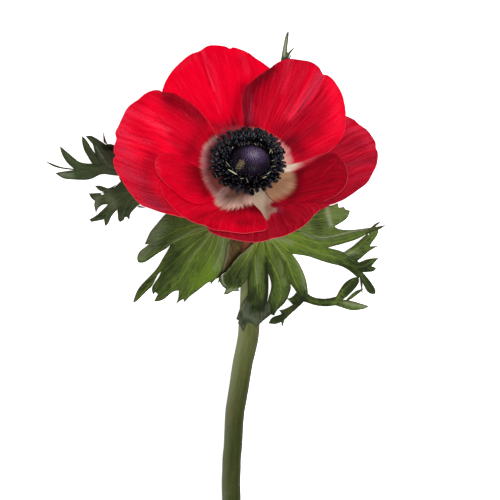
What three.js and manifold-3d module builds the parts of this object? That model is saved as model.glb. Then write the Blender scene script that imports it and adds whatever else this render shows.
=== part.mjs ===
// Red anemone, cut, lying on its stem with the open flower turned up.
// Millimetres, +Z up. The stem runs along Y, its cut end towards -Y.
//
// Plan outlines are written in a drawing square of 500 units whose middle is
// (250, 250), with the second number growing downwards: 0.3 mm a unit, seen
// from VIEW_HEIGHT above the reference level. The last step moves the model so
// that the middle of its bounding box is over the origin, bottom at z = 0.
import * as THREE from 'three';
import { mergeVertices } from 'three/addons/utils/BufferGeometryUtils.js';
import Module from 'manifold-3d';

const wasm = await Module();
wasm.setup();

// ---- driving dimensions -------------------------------------------------
const UNIT = 0.3;                       // mm per drawing unit
const VIEW_HEIGHT = 700;                // mm above the reference level
const LEVEL = 20;                       // reference level
const ORIGIN = [-10.349, -59.211, 0];      // middle of the bounding box before the shift

const HEART_PLAN = [250, 176];        // foot of the bowl, in drawing units
const HEART_Z = 19.0;
const AXIS = new THREE.Vector3(0.05, 0.574, 0.817).normalize(); // flower axis
const BOWL_RADIUS = 37;
const TEPAL_THICKNESS = 0.4;
const TEPAL_FOOT_RADIUS = 4.0;
const TEPAL_FOOT_WIDTH = 3.6;

const STEM_CUT_Y = -185;                // cut end, before the shift
const STEM_RADIUS_TOP = 3.0;
const STEM_RADIUS_END = 2.75;
const PEDICEL_RADIUS = 2.2;
const BRACT_THICKNESS = 0.45;

const COLORS = {
  tepal: 0xc8102e, stem: 0x6f7a45, bract: 0x5c6e3c, pistil: 0x2d2233, stamen: 0x17151c,
};

// ---- frames and small helpers ------------------------------------------
function planToTable(px, py, z) {
  const k = 1 - (z - LEVEL) / VIEW_HEIGHT;
  return [(px - 250) * UNIT * k, (250 - py) * UNIT * k];
}
const HEART = new THREE.Vector3(...planToTable(HEART_PLAN[0], HEART_PLAN[1], HEART_Z), HEART_Z);
const UP = new THREE.Vector3(0, 1, 0).addScaledVector(AXIS, -AXIS.y).normalize();
const SIDE = new THREE.Vector3().crossVectors(UP, AXIS).normalize();

// a point of the flower frame: x across, y up the flower, h along its axis
function fromFlower(x, y, h) {
  return HEART.clone().addScaledVector(SIDE, x).addScaledVector(UP, y).addScaledVector(AXIS, h);
}

// height of the bowl above its foot plane
function bowl(x, y) {
  const r = Math.hypot(x, y);
  if (r < 1e-9) return 0;
  const s = y / r;
  const a = 9.75 - 2.5 * s + 0.75 * s * s;
  const q = r / BOWL_RADIUS;
  return a * (0.25 * q + 0.75 * q * q);
}

// the flower-frame (x, y) that is seen at a drawing point, on the surface h = H(x, y)
function drawnOn(H, px, py) {
  const seen = (x, y) => {
    const p = fromFlower(x, y, H(x, y));
    const k = 1 - (p.z - LEVEL) / VIEW_HEIGHT;
    return [p.x / k / UNIT + 250, 250 - p.y / k / UNIT];
  };
  let x = (px - HEART_PLAN[0]) * UNIT, y = (HEART_PLAN[1] - py) * UNIT;
  for (let i = 0; i < 40; i++) {
    const e = 1e-3, f = seen(x, y), fx = seen(x + e, y), fy = seen(x, y + e);
    const a = (fx[0] - f[0]) / e, b = (fy[0] - f[0]) / e, c = (fx[1] - f[1]) / e, d = (fy[1] - f[1]) / e;
    const u = px - f[0], v = py - f[1], det = a * d - b * c;
    let dx = (u * d - b * v) / det, dy = (a * v - c * u) / det;
    const n = Math.hypot(dx, dy);
    if (n > 4) { dx *= 4 / n; dy *= 4 / n; }
    x += dx; y += dy;
    if (n < 1e-7) break;
  }
  return [x, y];
}

// a point a share t of the way along a polyline
function along(points, t) {
  const d = [0];
  for (let i = 1; i < points.length; i++) d.push(d[i - 1] + Math.hypot(points[i][0] - points[i - 1][0], points[i][1] - points[i - 1][1]));
  const s = Math.min(Math.max(t, 0), 1) * d[d.length - 1];
  let i = 1;
  while (i < d.length - 1 && d[i] < s) i++;
  const w = (s - d[i - 1]) / (d[i] - d[i - 1]);
  return [points[i - 1][0] + (points[i][0] - points[i - 1][0]) * w, points[i - 1][1] + (points[i][1] - points[i - 1][1]) * w];
}

function geometryOf(vertices, triangles) {
  const g = new THREE.BufferGeometry();
  g.setAttribute('position', new THREE.Float32BufferAttribute(vertices, 3));
  g.setIndex(triangles);
  return g;
}

// closed sheet of constant thickness on a grid of mid-surface points P[j][i]
function sheet(P, thickness) {
  const nj = P.length, ni = P[0].length, vertices = [], triangles = [];
  const normals = [];
  for (let j = 0; j < nj; j++) {
    normals.push([]);
    for (let i = 0; i < ni; i++) {
      const a = P[j][Math.min(i + 1, ni - 1)].clone().sub(P[j][Math.max(i - 1, 0)]);
      const b = P[Math.min(j + 1, nj - 1)][i].clone().sub(P[Math.max(j - 1, 0)][i]);
      const n = a.cross(b).normalize();
      normals[j].push(n);
    }
  }
  for (const side of [0.5, -0.5]) for (let j = 0; j < nj; j++) for (let i = 0; i < ni; i++) {
    const p = P[j][i].clone().addScaledVector(normals[j][i], side * thickness);
    vertices.push(p.x, p.y, p.z);
  }
  const top = (j, i) => j * ni + i, low = (j, i) => nj * ni + j * ni + i;
  for (let j = 0; j < nj - 1; j++) for (let i = 0; i < ni - 1; i++) {
    triangles.push(top(j, i), top(j, i + 1), top(j + 1, i + 1), top(j, i), top(j + 1, i + 1), top(j + 1, i));
    triangles.push(low(j, i), low(j + 1, i + 1), low(j, i + 1), low(j, i), low(j + 1, i), low(j + 1, i + 1));
  }
  const wall = (a, b, c, d) => triangles.push(a, b, c, a, c, d);
  for (let i = 0; i < ni - 1; i++) {
    wall(top(0, i), low(0, i), low(0, i + 1), top(0, i + 1));
    wall(top(nj - 1, i + 1), low(nj - 1, i + 1), low(nj - 1, i), top(nj - 1, i));
  }
  for (let j = 0; j < nj - 1; j++) {
    wall(top(j + 1, 0), low(j + 1, 0), low(j, 0), top(j, 0));
    wall(top(j, ni - 1), low(j, ni - 1), low(j + 1, ni - 1), top(j + 1, ni - 1));
  }
  return geometryOf(vertices, triangles);
}

// closed tube of changing radius along a list of centre points
function sweep(points, radii, sides) {
  const n = points.length, vertices = [], triangles = [];
  let across = null;
  for (let i = 0; i < n; i++) {
    const t = points[Math.min(i + 1, n - 1)].clone().sub(points[Math.max(i - 1, 0)]).normalize();
    if (!across) across = new THREE.Vector3(1, 0, 0);
    across = across.clone().addScaledVector(t, -across.dot(t)).normalize();
    const other = new THREE.Vector3().crossVectors(t, across);
    for (let k = 0; k < sides; k++) {
      const a = (k / sides) * 2 * Math.PI;
      const p = points[i].clone().addScaledVector(across, Math.cos(a) * radii[i]).addScaledVector(other, Math.sin(a) * radii[i]);
      vertices.push(p.x, p.y, p.z);
    }
  }
  for (let i = 0; i < n - 1; i++) for (let k = 0; k < sides; k++) {
    const a = i * sides + k, b = i * sides + (k + 1) % sides, c = a + sides, d = b + sides;
    triangles.push(a, b, d, a, d, c);
  }
  for (let k = 1; k < sides - 1; k++) {
    triangles.push(0, k + 1, k);
    const e = (n - 1) * sides;
    triangles.push(e, e + k, e + k + 1);
  }
  return geometryOf(vertices, triangles);
}

function solidOf(geometry) {
  const g = geometry.clone();
  g.deleteAttribute('normal');
  g.deleteAttribute('uv');
  const m = mergeVertices(g, 1e-4);
  return new wasm.Manifold(new wasm.Mesh({
    numProp: 3,
    vertProperties: new Float32Array(m.attributes.position.array),
    triVerts: new Uint32Array(m.index.array),
  }));
}
function geometryFrom(solid) {
  const m = solid.getMesh();
  return geometryOf(Array.from(m.vertProperties), Array.from(m.triVerts));
}

// ---- stem: horizontal stalk, bent neck and receptacle, grown as one ------
const STEM_PLAN = [ // drawing units of the centre line, top to bottom
  [250.8, 238], [250.6, 262], [250.2, 285], [249.6, 305], [248.3, 326], [246.8, 338], [244.5, 350], [242, 362],
  [240, 374], [238.4, 386], [236.6, 398], [234.8, 410], [233.6, 422], [232.8, 434], [232.2, 446], [231.4, 458],
  [231, 470], [230.8, 484], [231, 499],
];
const stemCentre = [], stemRadius = [];
{
  const h = (x, y, d) => fromFlower(x, y, d);
  // the receptacle's column and the pedicel under it
  const list = [
    [h(0, 0, 2.6), 3.1], [h(0, 0, 0.2), 3.1], [h(0, 0, -0.9), 3.4], [h(0, 0, -2.2), 3.3], [h(0, 0, -4.2), 2.6],
    [h(0, 0, -7.5), PEDICEL_RADIUS],
  ];
  const neckTop = h(0, 0, -7.5), root = planToTable(250.8, 238, STEM_RADIUS_TOP);
  const bend = new THREE.CatmullRomCurve3([
    h(0, 0, -4.2), neckTop, h(0.1, 0.3, -12.2), new THREE.Vector3(root[0] + 0.05, root[1] + 5.6, STEM_RADIUS_TOP + 0.95),
    new THREE.Vector3(root[0], root[1], STEM_RADIUS_TOP), new THREE.Vector3(root[0], root[1] - 6, STEM_RADIUS_TOP),
  ], false, 'centripetal');
  const from = 1 / 5, to = 4 / 5;
  for (let i = 1; i <= 9; i++) {
    const t = from + (to - from) * i / 9;
    list.push([bend.getPoint(t), PEDICEL_RADIUS + (STEM_RADIUS_TOP - PEDICEL_RADIUS) * THREE.MathUtils.smoothstep(i / 9, 0.35, 1)]);
  }
  const plan = STEM_PLAN.slice(1).map(([px, py]) => new THREE.Vector2(...planToTable(px, py, STEM_RADIUS_TOP)));
  const last = plan[plan.length - 1];
  const rest = [[-5.7, -90], [-5.2, -105], [-4.3, -122], [-3.0, -140], [-1.5, -157], [0.2, -172], [1.8, STEM_CUT_Y]];
  for (const [x, y] of rest) if (y < last.y - 3) plan.push(new THREE.Vector2(x, y));
  for (const p of plan) {
    const t = THREE.MathUtils.smoothstep(-p.y, 25, 75);
    const r = STEM_RADIUS_TOP + (STEM_RADIUS_END - STEM_RADIUS_TOP) * t;
    list.push([new THREE.Vector3(p.x, p.y, r), r]);
  }
  for (const [p, r] of list) { stemCentre.push(p); stemRadius.push(r); }
}
const stemSides = 12;

// ---- tepals ---------------------------------------------------------------
// level: how far above the lowest layer; foot: direction of its foot round the
// heart in degrees; left, rim, right: its outline in drawing units, with the
// parts that lie behind its neighbours.
const TEPALS = {
  tepal_top: {
    level: 0, foot: 95, curl: 2.2,
    left: [[240, 162], [220, 150], [202, 138], [185, 124], [172, 112], [165, 103], [162, 96]],
    rim: [[162.5, 90], [166, 81], [173, 70], [181.5, 61.5], [191.5, 54], [199, 51.5], [208, 46], [216, 45.4], [226, 47], [230, 49], [233, 47.6], [243, 50.4], [250.4, 54], [255.3, 57.8], [262, 62], [269, 67.4], [277, 74], [282, 84]],
    right: [[285, 97], [281, 115], [272, 130], [262, 145], [255, 160]],
  },
  tepal_top_right: {
    level: 0.85, foot: 45, curl: 1.5,
    left: [[249, 152], [246, 140], [244, 127], [243, 114.6], [241.7, 99.7]],
    rim: [[243, 91.4], [248.7, 84], [259.5, 74], [269, 67.4], [280, 61.6], [288, 59], [300.5, 60.4], [311, 62.4], [318.7, 67.4], [323.7, 75], [326.6, 75], [332, 78.6], [337, 85], [342, 94], [345, 106], [346, 116], [345.3, 127], [342.8, 135.4], [338.6, 142]],
    right: [[329.5, 151], [316, 156], [304.6, 160.3], [291.4, 163.2], [276, 167]],
  },
  tepal_left: {
    level: 1.7, foot: 172, curl: 1.5,
    left: [[240, 176], [232, 184], [222, 196], [210, 208], [197, 216], [183, 217.5], [175, 215.5], [160, 212], [148, 207.7]],
    rim: [[142, 205.6], [135.7, 199.4], [128, 190], [121.6, 180], [116.6, 172], [113.7, 164.6], [113.7, 158], [115.8, 156.3], [114, 152], [114.5, 145.5], [116.6, 139], [115.6, 133], [119, 125.6], [123, 116.5], [127, 109], [132, 104], [138, 100], [145, 94], [151, 91], [158, 89.8], [162.5, 90], [174, 91.4]],
    right: [[184, 96.4], [195, 104], [204, 113], [209.7, 121], [214.7, 129.6], [221, 139], [229, 151], [238, 164]],
  },
  tepal_far_right: {
    level: 0, foot: 2, curl: 1.0,
    left: [[264, 166], [278, 158], [297, 145], [315, 132], [332, 120]],
    rim: [[340, 116], [346, 116], [350, 117.6], [354.4, 120], [358.5, 124], [363, 127], [367, 130], [371, 135], [375.3, 142.4], [376, 149], [377.3, 151], [377.7, 157.4], [376.5, 165], [372.8, 173], [367, 183], [359.5, 189], [351, 195], [343, 200], [336, 203]],
    right: [[326, 206.3], [318, 210.4], [305, 207], [292, 198], [278, 188], [266, 180]],
  },
  tepal_front: {
    level: 0.85, foot: 284, curl: 0.4,
    left: [[258, 190], [259, 198], [262, 204], [262, 210], [250, 214], [232, 216], [215, 218]],
    rim: [[206.7, 226], [209.4, 231], [215, 234.4], [223, 237], [232, 239], [239.4, 240.6], [248, 241.7], [257, 242.2], [266, 240.6], [273, 238.3], [282, 236.7], [289, 234], [297, 230], [304, 225.6], [309.4, 220.6], [314, 215], [319, 210.6]],
    right: [[320, 204], [313, 198], [300, 193], [287, 190], [274, 188], [264, 185]],
  },
  tepal_right_inner: {
    level: 1.7, foot: 335, curl: 0.8,
    left: [[268, 174], [280, 173], [290, 171], [298, 168], [310, 161], [318, 156], [329, 151]],
    rim: [[335.5, 152.4], [341, 156.5], [345.4, 163], [347.5, 170], [348, 176.4], [346, 183], [343.7, 187], [339, 191.4], [331, 195.5], [323, 199]],
    right: [[310, 199], [303, 201], [295, 202.5], [285, 203.5], [276, 202], [266, 192], [260, 184]],
  },
  tepal_front_left: {
    level: 2.55, foot: 236, curl: 0.6,
    left: [[250, 184], [250, 192], [252, 200], [256.3, 204.3], [260.7, 208.8], [264, 214], [267, 220]],
    rim: [[268, 224], [265, 228], [257, 229.3], [248, 230.6], [239, 230.6], [230, 229.7], [219.6, 228.4], [207, 225.7], [198, 223.8], [189.6, 220.5], [183, 216], [176, 209.7], [169.7, 203], [164, 195], [160.6, 187], [159.8, 183]],
    right: [[164, 178], [175, 177], [190, 180], [205, 184], [220, 184], [235, 178]],
  },
  tepal_left_inner: {
    level: 3.4, foot: 200, curl: 0,
    left: [[240, 177], [230, 183], [221, 191], [213, 199], [206, 201.5], [199.6, 203], [191, 201]],
    rim: [[183, 197], [174.7, 190.6], [166.4, 183], [160.6, 175.7], [156.4, 169], [154.8, 164], [155.6, 159], [159, 155], [163, 153.7], [168, 153]],
    right: [[175, 155], [183, 158.5], [190, 161.5], [198, 166], [210, 168], [224, 168], [236, 170]],
  },
};

function tepalSurface(spec) {
  return (x, y) => {
    const q = Math.hypot(x, y) / BOWL_RADIUS;
    const c = Math.max(0, q - 0.7);
    return spec.level + bowl(x, y) - spec.curl * c * c * 4;
  };
}

function tepal(spec, nu = 15, nv = 7) {
  const H = tepalSurface(spec);
  const footAngle = THREE.MathUtils.degToRad(spec.foot);
  const half = Math.asin(TEPAL_FOOT_WIDTH / 2 / TEPAL_FOOT_RADIUS);
  const corner = (a) => [Math.cos(a) * TEPAL_FOOT_RADIUS, Math.sin(a) * TEPAL_FOOT_RADIUS];
  const flat = (list) => list.map(([px, py]) => drawnOn(H, px, py));
  const A0 = flat(spec.left), R = flat(spec.rim), B0 = flat(spec.right);
  // the foot's two corners, the one nearer each side first
  const c1 = corner(footAngle - half), c2 = corner(footAngle + half);
  const d = (p, q) => Math.hypot(p[0] - q[0], p[1] - q[1]);
  const swap = d(c1, A0[0]) + d(c2, B0[B0.length - 1]) > d(c2, A0[0]) + d(c1, B0[B0.length - 1]);
  const [ca, cb] = swap ? [c2, c1] : [c1, c2];
  const A = [ca, ...A0, R[0]], B = [cb, ...B0.slice().reverse(), R[R.length - 1]];
  const angleOf = (p) => Math.atan2(p[1], p[0]);
  let a0 = angleOf(ca), a1 = angleOf(cb);
  while (a1 - a0 > Math.PI) a1 -= 2 * Math.PI;
  while (a1 - a0 < -Math.PI) a1 += 2 * Math.PI;
  const P = [];
  for (let j = 0; j <= nv; j++) {
    const v = j / nv, row = [];
    for (let i = 0; i <= nu; i++) {
      const u = i / nu;
      const a = along(A, v), b = along(B, v), base = corner(a0 + (a1 - a0) * u), rim = along(R, u);
      const p = [0, 1].map((k) => (1 - u) * a[k] + u * b[k] + (1 - v) * base[k] + v * rim[k]
        - ((1 - u) * (1 - v) * ca[k] + u * (1 - v) * cb[k] + (1 - u) * v * R[0][k] + u * v * R[R.length - 1][k]));
      row.push(fromFlower(p[0], p[1], H(p[0], p[1])));
    }
    P.push(row);
  }
  let g = sheet(P, TEPAL_THICKNESS);
  // all sheets face outwards whichever way their outline runs
  const solid = signedVolume(g);
  if (solid < 0) g = flip(g);
  return g;
}
function signedVolume(g) {
  const p = g.attributes.position, ix = g.index.array;
  let v = 0;
  const a = new THREE.Vector3(), b = new THREE.Vector3(), c = new THREE.Vector3();
  for (let i = 0; i < ix.length; i += 3) {
    a.fromBufferAttribute(p, ix[i]); b.fromBufferAttribute(p, ix[i + 1]); c.fromBufferAttribute(p, ix[i + 2]);
    v += a.dot(b.cross(c)) / 6;
  }
  return v;
}
function flip(g) {
  const ix = Array.from(g.index.array);
  for (let i = 0; i < ix.length; i += 3) [ix[i], ix[i + 1]] = [ix[i + 1], ix[i]];
  return geometryOf(Array.from(g.attributes.position.array), ix);
}

// ---- pistil and stamens -----------------------------------------------------
// lathe in the flower frame, from a profile of [radius, height]
function turned(profile, segments) {
  const g = new THREE.LatheGeometry(profile.map(([r, h]) => new THREE.Vector2(r, h)), segments);
  const m = new THREE.Matrix4().makeBasis(SIDE, AXIS, UP.clone().negate());
  // LatheGeometry turns about its own Y, which becomes the flower axis
  m.setPosition(HEART);
  g.applyMatrix4(m);
  return g;
}
const PISTIL_PROFILE = [
  [0, 3.2], [2.8, 3.2], [3.2, 4.6], [3.9, 5.6], [4.75, 6.8], [5.4, 8.1], [5.2, 9.6], [4.4, 11.0], [3.0, 12.1], [1.5, 12.6], [0, 12.75],
];
const STAMEN_ROWS = { // rows: count, radius and height of the anthers
  stamens_outer: { collar: [4.3, 5.3, 4.75, 5.2], rows: [[22, 10.3, 6.9], [19, 9.2, 7.7]] },
  stamens_inner: { collar: [5.25, 5.8, 6.3, 6.7], rows: [[15, 7.5, 9.35], [12, 6.7, 10.0]] },
};
const RING_SHEAR = 0.13; // the ring leans a little towards the lower side
function ringHeight(y) { return RING_SHEAR * y; }

function stamenRing({ collar, rows }, seed) {
  const [r0, r1, h0, h1] = collar;
  let solid = solidOf(turned([[r0, h0], [r1, h0], [r1, h1], [r0, h1], [r0, h0]], 20));
  const collars = [];
  let state = seed;
  const random = () => { state = (state * 1664525 + 1013904223) % 4294967296; return state / 4294967296 - 0.5; };
  rows.forEach(([count, radius, height], row) => {
    for (let i = 0; i < count; i++) {
      const a = ((i + 0.5 * row + 0.3 * random()) / count) * 2 * Math.PI;
      const r = radius + 0.5 * random(), h = height + 0.35 * random() + ringHeight(radius * Math.sin(a));
      const at = (rr, hh) => fromFlower(Math.cos(a) * rr, Math.sin(a) * rr, hh);
      const foot = at((r0 + r1) / 2, (h0 + h1) / 2 + 0.1);
      const tip = at(r, h), knee = at(r1 + (r - r1) * 0.5, h1 + (h - h1) * 0.62);
      const filament = sweep([foot, knee, tip], [0.18, 0.17, 0.16], 3);
      const dir = tip.clone().sub(knee).normalize();
      const anther = sweep([
        tip.clone().addScaledVector(dir, -0.6), tip.clone().addScaledVector(dir, 0.1), tip.clone().addScaledVector(dir, 0.9),
      ], [0.24, 0.46, 0.2], 4);
      collars.push(solidOf(filament).add(solidOf(anther)));
    }
  });
  solid = wasm.Manifold.union([solid, ...collars]);
  return geometryFrom(solid);
}

// ---- bracts --------------------------------------------------------------------
// A smooth height over the plan, from a few known points [px, py, z].
function heightField(points, spread) {
  return (px, py) => {
    let w = 1e-12, s = 0;
    for (const [x, y, z] of points) {
      const k = Math.exp(-((px - x) ** 2 + (py - y) ** 2) / (2 * spread * spread)) + 1e-6 / (1 + (px - x) ** 2 + (py - y) ** 2);
      w += k; s += k * z;
    }
    return s / w;
  };
}
// leaf blade: the outline stood up as a prism, cut from a curved slab
function blade(outlines, height, step) {
  let x0 = 1e9, x1 = -1e9, y0 = 1e9, y1 = -1e9;
  for (const o of outlines) for (const [x, y] of o) { x0 = Math.min(x0, x); x1 = Math.max(x1, x); y0 = Math.min(y0, y); y1 = Math.max(y1, y); }
  x0 -= 2; x1 += 2; y0 -= 2; y1 += 2;
  const ni = Math.ceil((x1 - x0) / step), nj = Math.ceil((y1 - y0) / step), P = [];
  for (let j = 0; j <= nj; j++) {
    const row = [];
    for (let i = 0; i <= ni; i++) {
      const px = x0 + ((x1 - x0) * i) / ni, py = y0 + ((y1 - y0) * j) / nj, z = height(px, py);
      row.push(new THREE.Vector3(...planToTable(px, py, z), z));
    }
    P.push(row);
  }
  // slab with its faces moved up and down, so that it keeps over the plan
  const vertices = [], triangles = [], w = ni + 1;
  for (const s of [0.5, -0.5]) for (const row of P) for (const p of row) vertices.push(p.x, p.y, p.z + s * BRACT_THICKNESS);
  const T = (j, i) => j * w + i, L = (j, i) => (nj + 1) * w + j * w + i;
  for (let j = 0; j < nj; j++) for (let i = 0; i < ni; i++) {
    triangles.push(T(j, i), T(j + 1, i), T(j + 1, i + 1), T(j, i), T(j + 1, i + 1), T(j, i + 1));
    triangles.push(L(j, i), L(j + 1, i + 1), L(j + 1, i), L(j, i), L(j, i + 1), L(j + 1, i + 1));
  }
  for (let i = 0; i < ni; i++) {
    triangles.push(T(0, i), T(0, i + 1), L(0, i + 1), T(0, i), L(0, i + 1), L(0, i));
    triangles.push(T(nj, i + 1), T(nj, i), L(nj, i), T(nj, i + 1), L(nj, i), L(nj, i + 1));
  }
  for (let j = 0; j < nj; j++) {
    triangles.push(T(j + 1, 0), T(j, 0), L(j, 0), T(j + 1, 0), L(j, 0), L(j + 1, 0));
    triangles.push(T(j, ni), T(j + 1, ni), L(j + 1, ni), T(j, ni), L(j + 1, ni), L(j, ni));
  }
  let slab = geometryOf(vertices, triangles);
  if (signedVolume(slab) < 0) slab = flip(slab);
  let prism = null;
  for (const outline of outlines) {
    const shape = new THREE.Shape(outline.map(([px, py]) => {
      const [x, y] = planToTable(px, py, Math.max(0.3, height(px, py)));
      return new THREE.Vector2(x, y);
    }));
    const g = new THREE.ExtrudeGeometry(shape, { depth: 60, bevelEnabled: false, steps: 1 });
    g.translate(0, 0, -20);
    const s = solidOf(g);
    prism = prism ? prism.add(s) : s;
  }
  return geometryFrom(solidOf(slab).intersect(prism));
}

const BRACTS = {
  bract_left: {
    step: 14,
    spread: 13,
    height: [
      [239, 236, 4.6], [236, 246, 5.0], [230, 262, 4.0], [238, 255, 4.4], [220, 225, 6.2], [200, 220, 7.4], [180, 218, 7.0],
      [165, 222, 5.4], [150, 240, 2.6], [140, 255, 0.8], [200, 245, 7.2], [180, 255, 6.2], [160, 275, 3.6], [135, 300, 0.5],
      [150, 292, 1.6], [170, 290, 2.4], [184, 300, 1.0], [200, 288, 2.8], [212, 270, 4.4], [225, 272, 3.2], [195, 265, 6.2],
      [176, 304, 0.6], [158, 300, 0.7],
    ],
    outlines: [[
      [239.5, 233], [234, 226], [224, 214], [208, 208], [190, 206], [175, 208], [165, 214], [160, 220], [155, 226], [150, 232], [147, 239], [145, 246], [141, 250],
      [138, 254], [137, 259], [138.5, 262.6], [146, 262], [153, 257], [160, 252], [168.5, 247.5], [163, 258], [158, 267], [153, 273],
      [147, 279], [140, 286], [136, 293], [133, 302], [141, 297], [147, 291], [152, 286.5], [155, 279], [159, 275],
      [155, 282], [151.5, 287], [153, 294.5], [157, 294], [155, 301.5], [163, 300], [167, 297], [171, 293],
      [178.5, 290.5], [178, 302], [184, 302.5], [192, 295], [200, 289], [207, 283],
      [217, 278.5], [228, 270], [234, 263], [237.5, 254], [238.5, 244],
    ]],
  },
  bract_right: {
    step: 14,
    spread: 12,
    height: [
      [262, 236, 7.6], [252, 240, 7.5], [250, 250, 7.4], [250, 262, 7.35], [250, 275, 7.3], [250, 290, 7.2], [248, 305, 7.1], [246, 320, 7.2], [252, 325, 7.3], [256, 318, 7.2], [262, 250, 7.4], [264, 272, 7.2],
      [262, 300, 7.0], [258, 310, 6.9], [262, 320, 6.7], [236, 262, 6.9], [228, 275, 6.0], [226, 292, 5.6], [238, 290, 6.9], [240, 310, 6.9], [236, 280, 6.9], [276, 250, 7.2], [275, 290, 6.4],
      [276, 308, 5.0], [286, 290, 5.2], [284, 262, 7.2], [300, 262, 7.2], [307, 290, 4.6], [296, 300, 2.8], [286, 308, 1.6], [272, 322, 1.2],
      [284, 322, 0.8], [322, 302, 2.0], [340, 300, 1.4], [368, 306, 0.5], [352, 282, 1.2], [358, 276, 2.2], [374, 292, 0.5],
      [320, 250, 6.4], [345, 258, 4.6], [366, 266, 2.4], [378, 260, 0.8], [376, 268, 0.8], [330, 240, 6.4], [350, 234, 4.6], [372, 228, 1.8],
      [388, 223, 0.6], [365, 246, 2.6], [379, 246, 0.8], [320, 220, 6.6], [338, 212, 5.6], [350, 211, 4.8], [300, 236, 7.4], [280, 230, 7.2],
    ],
    outlines: [[
      [253.5, 240], [252, 245], [245, 251], [240, 254], [235, 260], [231, 266], [227, 271], [222.5, 275], [224, 283], [226, 287], [224, 293.5], [230, 293],
      [239.5, 290], [238.5, 287.5], [242, 285], [245.5, 281], [247.5, 278], [248, 290], [246, 297], [243, 302], [240, 308],
      [237.5, 314], [236.5, 319.5], [240, 325], [246, 324.5], [254, 325], [261, 322], [270, 315.5], [274, 315.5], [268.5, 322.5], [274, 324], [281, 321.5], [288, 316],
      [295, 309], [303, 302], [310, 304], [318, 306], [327, 306.5], [334, 305], [343, 308], [350, 310], [357, 309.5], [368, 306], [355, 302],
      [350, 300], [355, 295.5], [360.5, 289.5], [353.5, 291.5], [357, 288], [359.5, 282], [362, 284], [364, 287], [367, 291], [374, 294], [376, 291],
      [372, 285], [367, 279], [363.5, 273.5], [374, 271], [376, 268.5], [372.5, 266], [378.5, 258.8], [372, 258.5], [365, 259.5],
      [368, 252], [378, 246.5], [372, 245.5], [374, 242], [377, 237], [378.5, 231], [387, 224.3], [380, 222.5], [368, 226.5],
      [360, 228], [350, 229.5], [339, 229], [336, 226.5], [341, 223], [346, 219], [349, 214], [350, 210.5], [344, 207.5], [337, 203.5], [327, 207],
      [318, 209], [300, 212], [285, 220], [270, 229], [258, 234],
    ]],
    holes: [
      [[328, 247.5], [336, 244.5], [350, 241.5], [357, 240.5], [350, 247.5], [343, 251.5], [336, 250]],
      [[293, 256], [305, 256.5], [315, 258.5], [325, 262], [338, 266.5], [345, 269.5], [351, 274], [352, 277.5], [347, 280.5], [343, 285],
        [341, 290], [339, 293.5], [334, 296], [328, 297.5], [320, 297.5], [313, 296], [308.5, 293], [306.5, 283], [304, 275], [300, 266], [296, 259]],
      [[268, 273], [270, 278], [271, 285], [270, 291], [268.5, 296], [267.6, 300], [266.6, 296], [267.5, 285]],
      [[290, 286], [291, 288], [291.5, 292.5], [289, 298], [287, 303], [283, 308], [279.5, 308.5], [284, 303.5], [287, 298], [289.5, 292]],
    ],
  },
  bract_back: {
    step: 26,
    spread: 14,
    height: [
      [250, 217, 0.7], [242, 200, 0.5], [220, 185, 0.5], [190, 175, 0.5], [150, 172, 0.6], [120, 165, 0.9], [95, 152, 0.8], [84, 140, 0.5],
      [62, 148, 0.4], [45, 161, 0.4], [60, 175, 0.4], [90, 172, 1.0], [120, 190, 0.9], [95, 196, 0.5], [100, 215, 0.4], [120, 218, 0.4],
      [250, 160, 0.5], [262, 120, 0.5], [275, 80, 0.7], [287, 45, 0.5], [300, 180, 0.5], [325, 140, 0.4],
    ],
    outlines: [[
      [244, 217], [240, 211], [236, 204], [226, 196], [212, 190], [196, 188], [180, 190], [164, 197], [152, 203], [140, 203], [134, 209], [130, 214],
      [129, 219], [126, 217], [124, 220], [120, 221.5], [118, 215], [117, 210], [111, 217], [108, 224], [105, 225], [104, 219], [97, 221], [91, 221.5], [96, 216], [102, 210],
      [108, 204.5], [103, 204], [98, 208], [96, 211], [95, 201], [91, 197.5], [90, 194], [98, 193], [100, 191], [96, 186.5], [100, 185.5], [104, 187],
      [108, 188.5], [117, 184], [122, 180.5], [119, 176], [110, 175], [104, 174], [99, 175], [94, 178], [88, 180], [80, 180], [64, 179], [56, 173.5],
      [63, 171], [73, 169.5], [60, 168], [52, 164.5], [46, 161.5], [60, 165], [72, 167.5], [67, 163], [63, 157], [60.5, 150], [60.5, 147], [66, 151], [72, 156],
      [77, 160.5], [82, 163], [91, 163], [88, 157], [84, 150], [82, 142], [82.5, 137], [86, 139.5], [90.5, 146], [93, 144], [87, 137],
      [91, 135.5], [96, 138], [102, 141.5], [103.5, 134], [106, 141], [114, 146], [126, 152], [142, 160], [160, 168], [178, 173], [196, 174],
      [212, 172], [224, 165], [232, 152], [237, 136], [243, 120], [252, 104], [262, 90], [272, 76], [280, 64], [282, 54], [283.5, 46], [285, 38],
      [286.5, 33.8], [288.6, 33], [288, 42], [287.5, 52], [292.5, 48.8], [295, 47.5], [290.5, 52], [287.5, 60], [281, 80], [273, 98], [266, 114], [262, 130],
      [262, 144], [268, 152], [280, 148], [294, 138], [306, 126], [316, 114], [322, 108], [326, 112], [322, 126], [331, 124], [336, 130], [326, 142], [336, 146],
      [334, 152], [318, 158], [306, 168], [308, 178], [300, 182], [288, 178], [276, 178], [266, 184], [260, 194], [257, 206], [256, 212], [254, 217],
    ]],
  },
};

// ---- the model ---------------------------------------------------------------------
const group = new THREE.Group();
function add(name, geometry, color, roughness = 0.7) {
  const g = geometry;
  g.translate(-ORIGIN[0], -ORIGIN[1], -ORIGIN[2]);
  const mesh = new THREE.Mesh(g, new THREE.MeshStandardMaterial({ color, roughness, metalness: 0 }));
  mesh.name = name;
  group.add(mesh);
}

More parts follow.
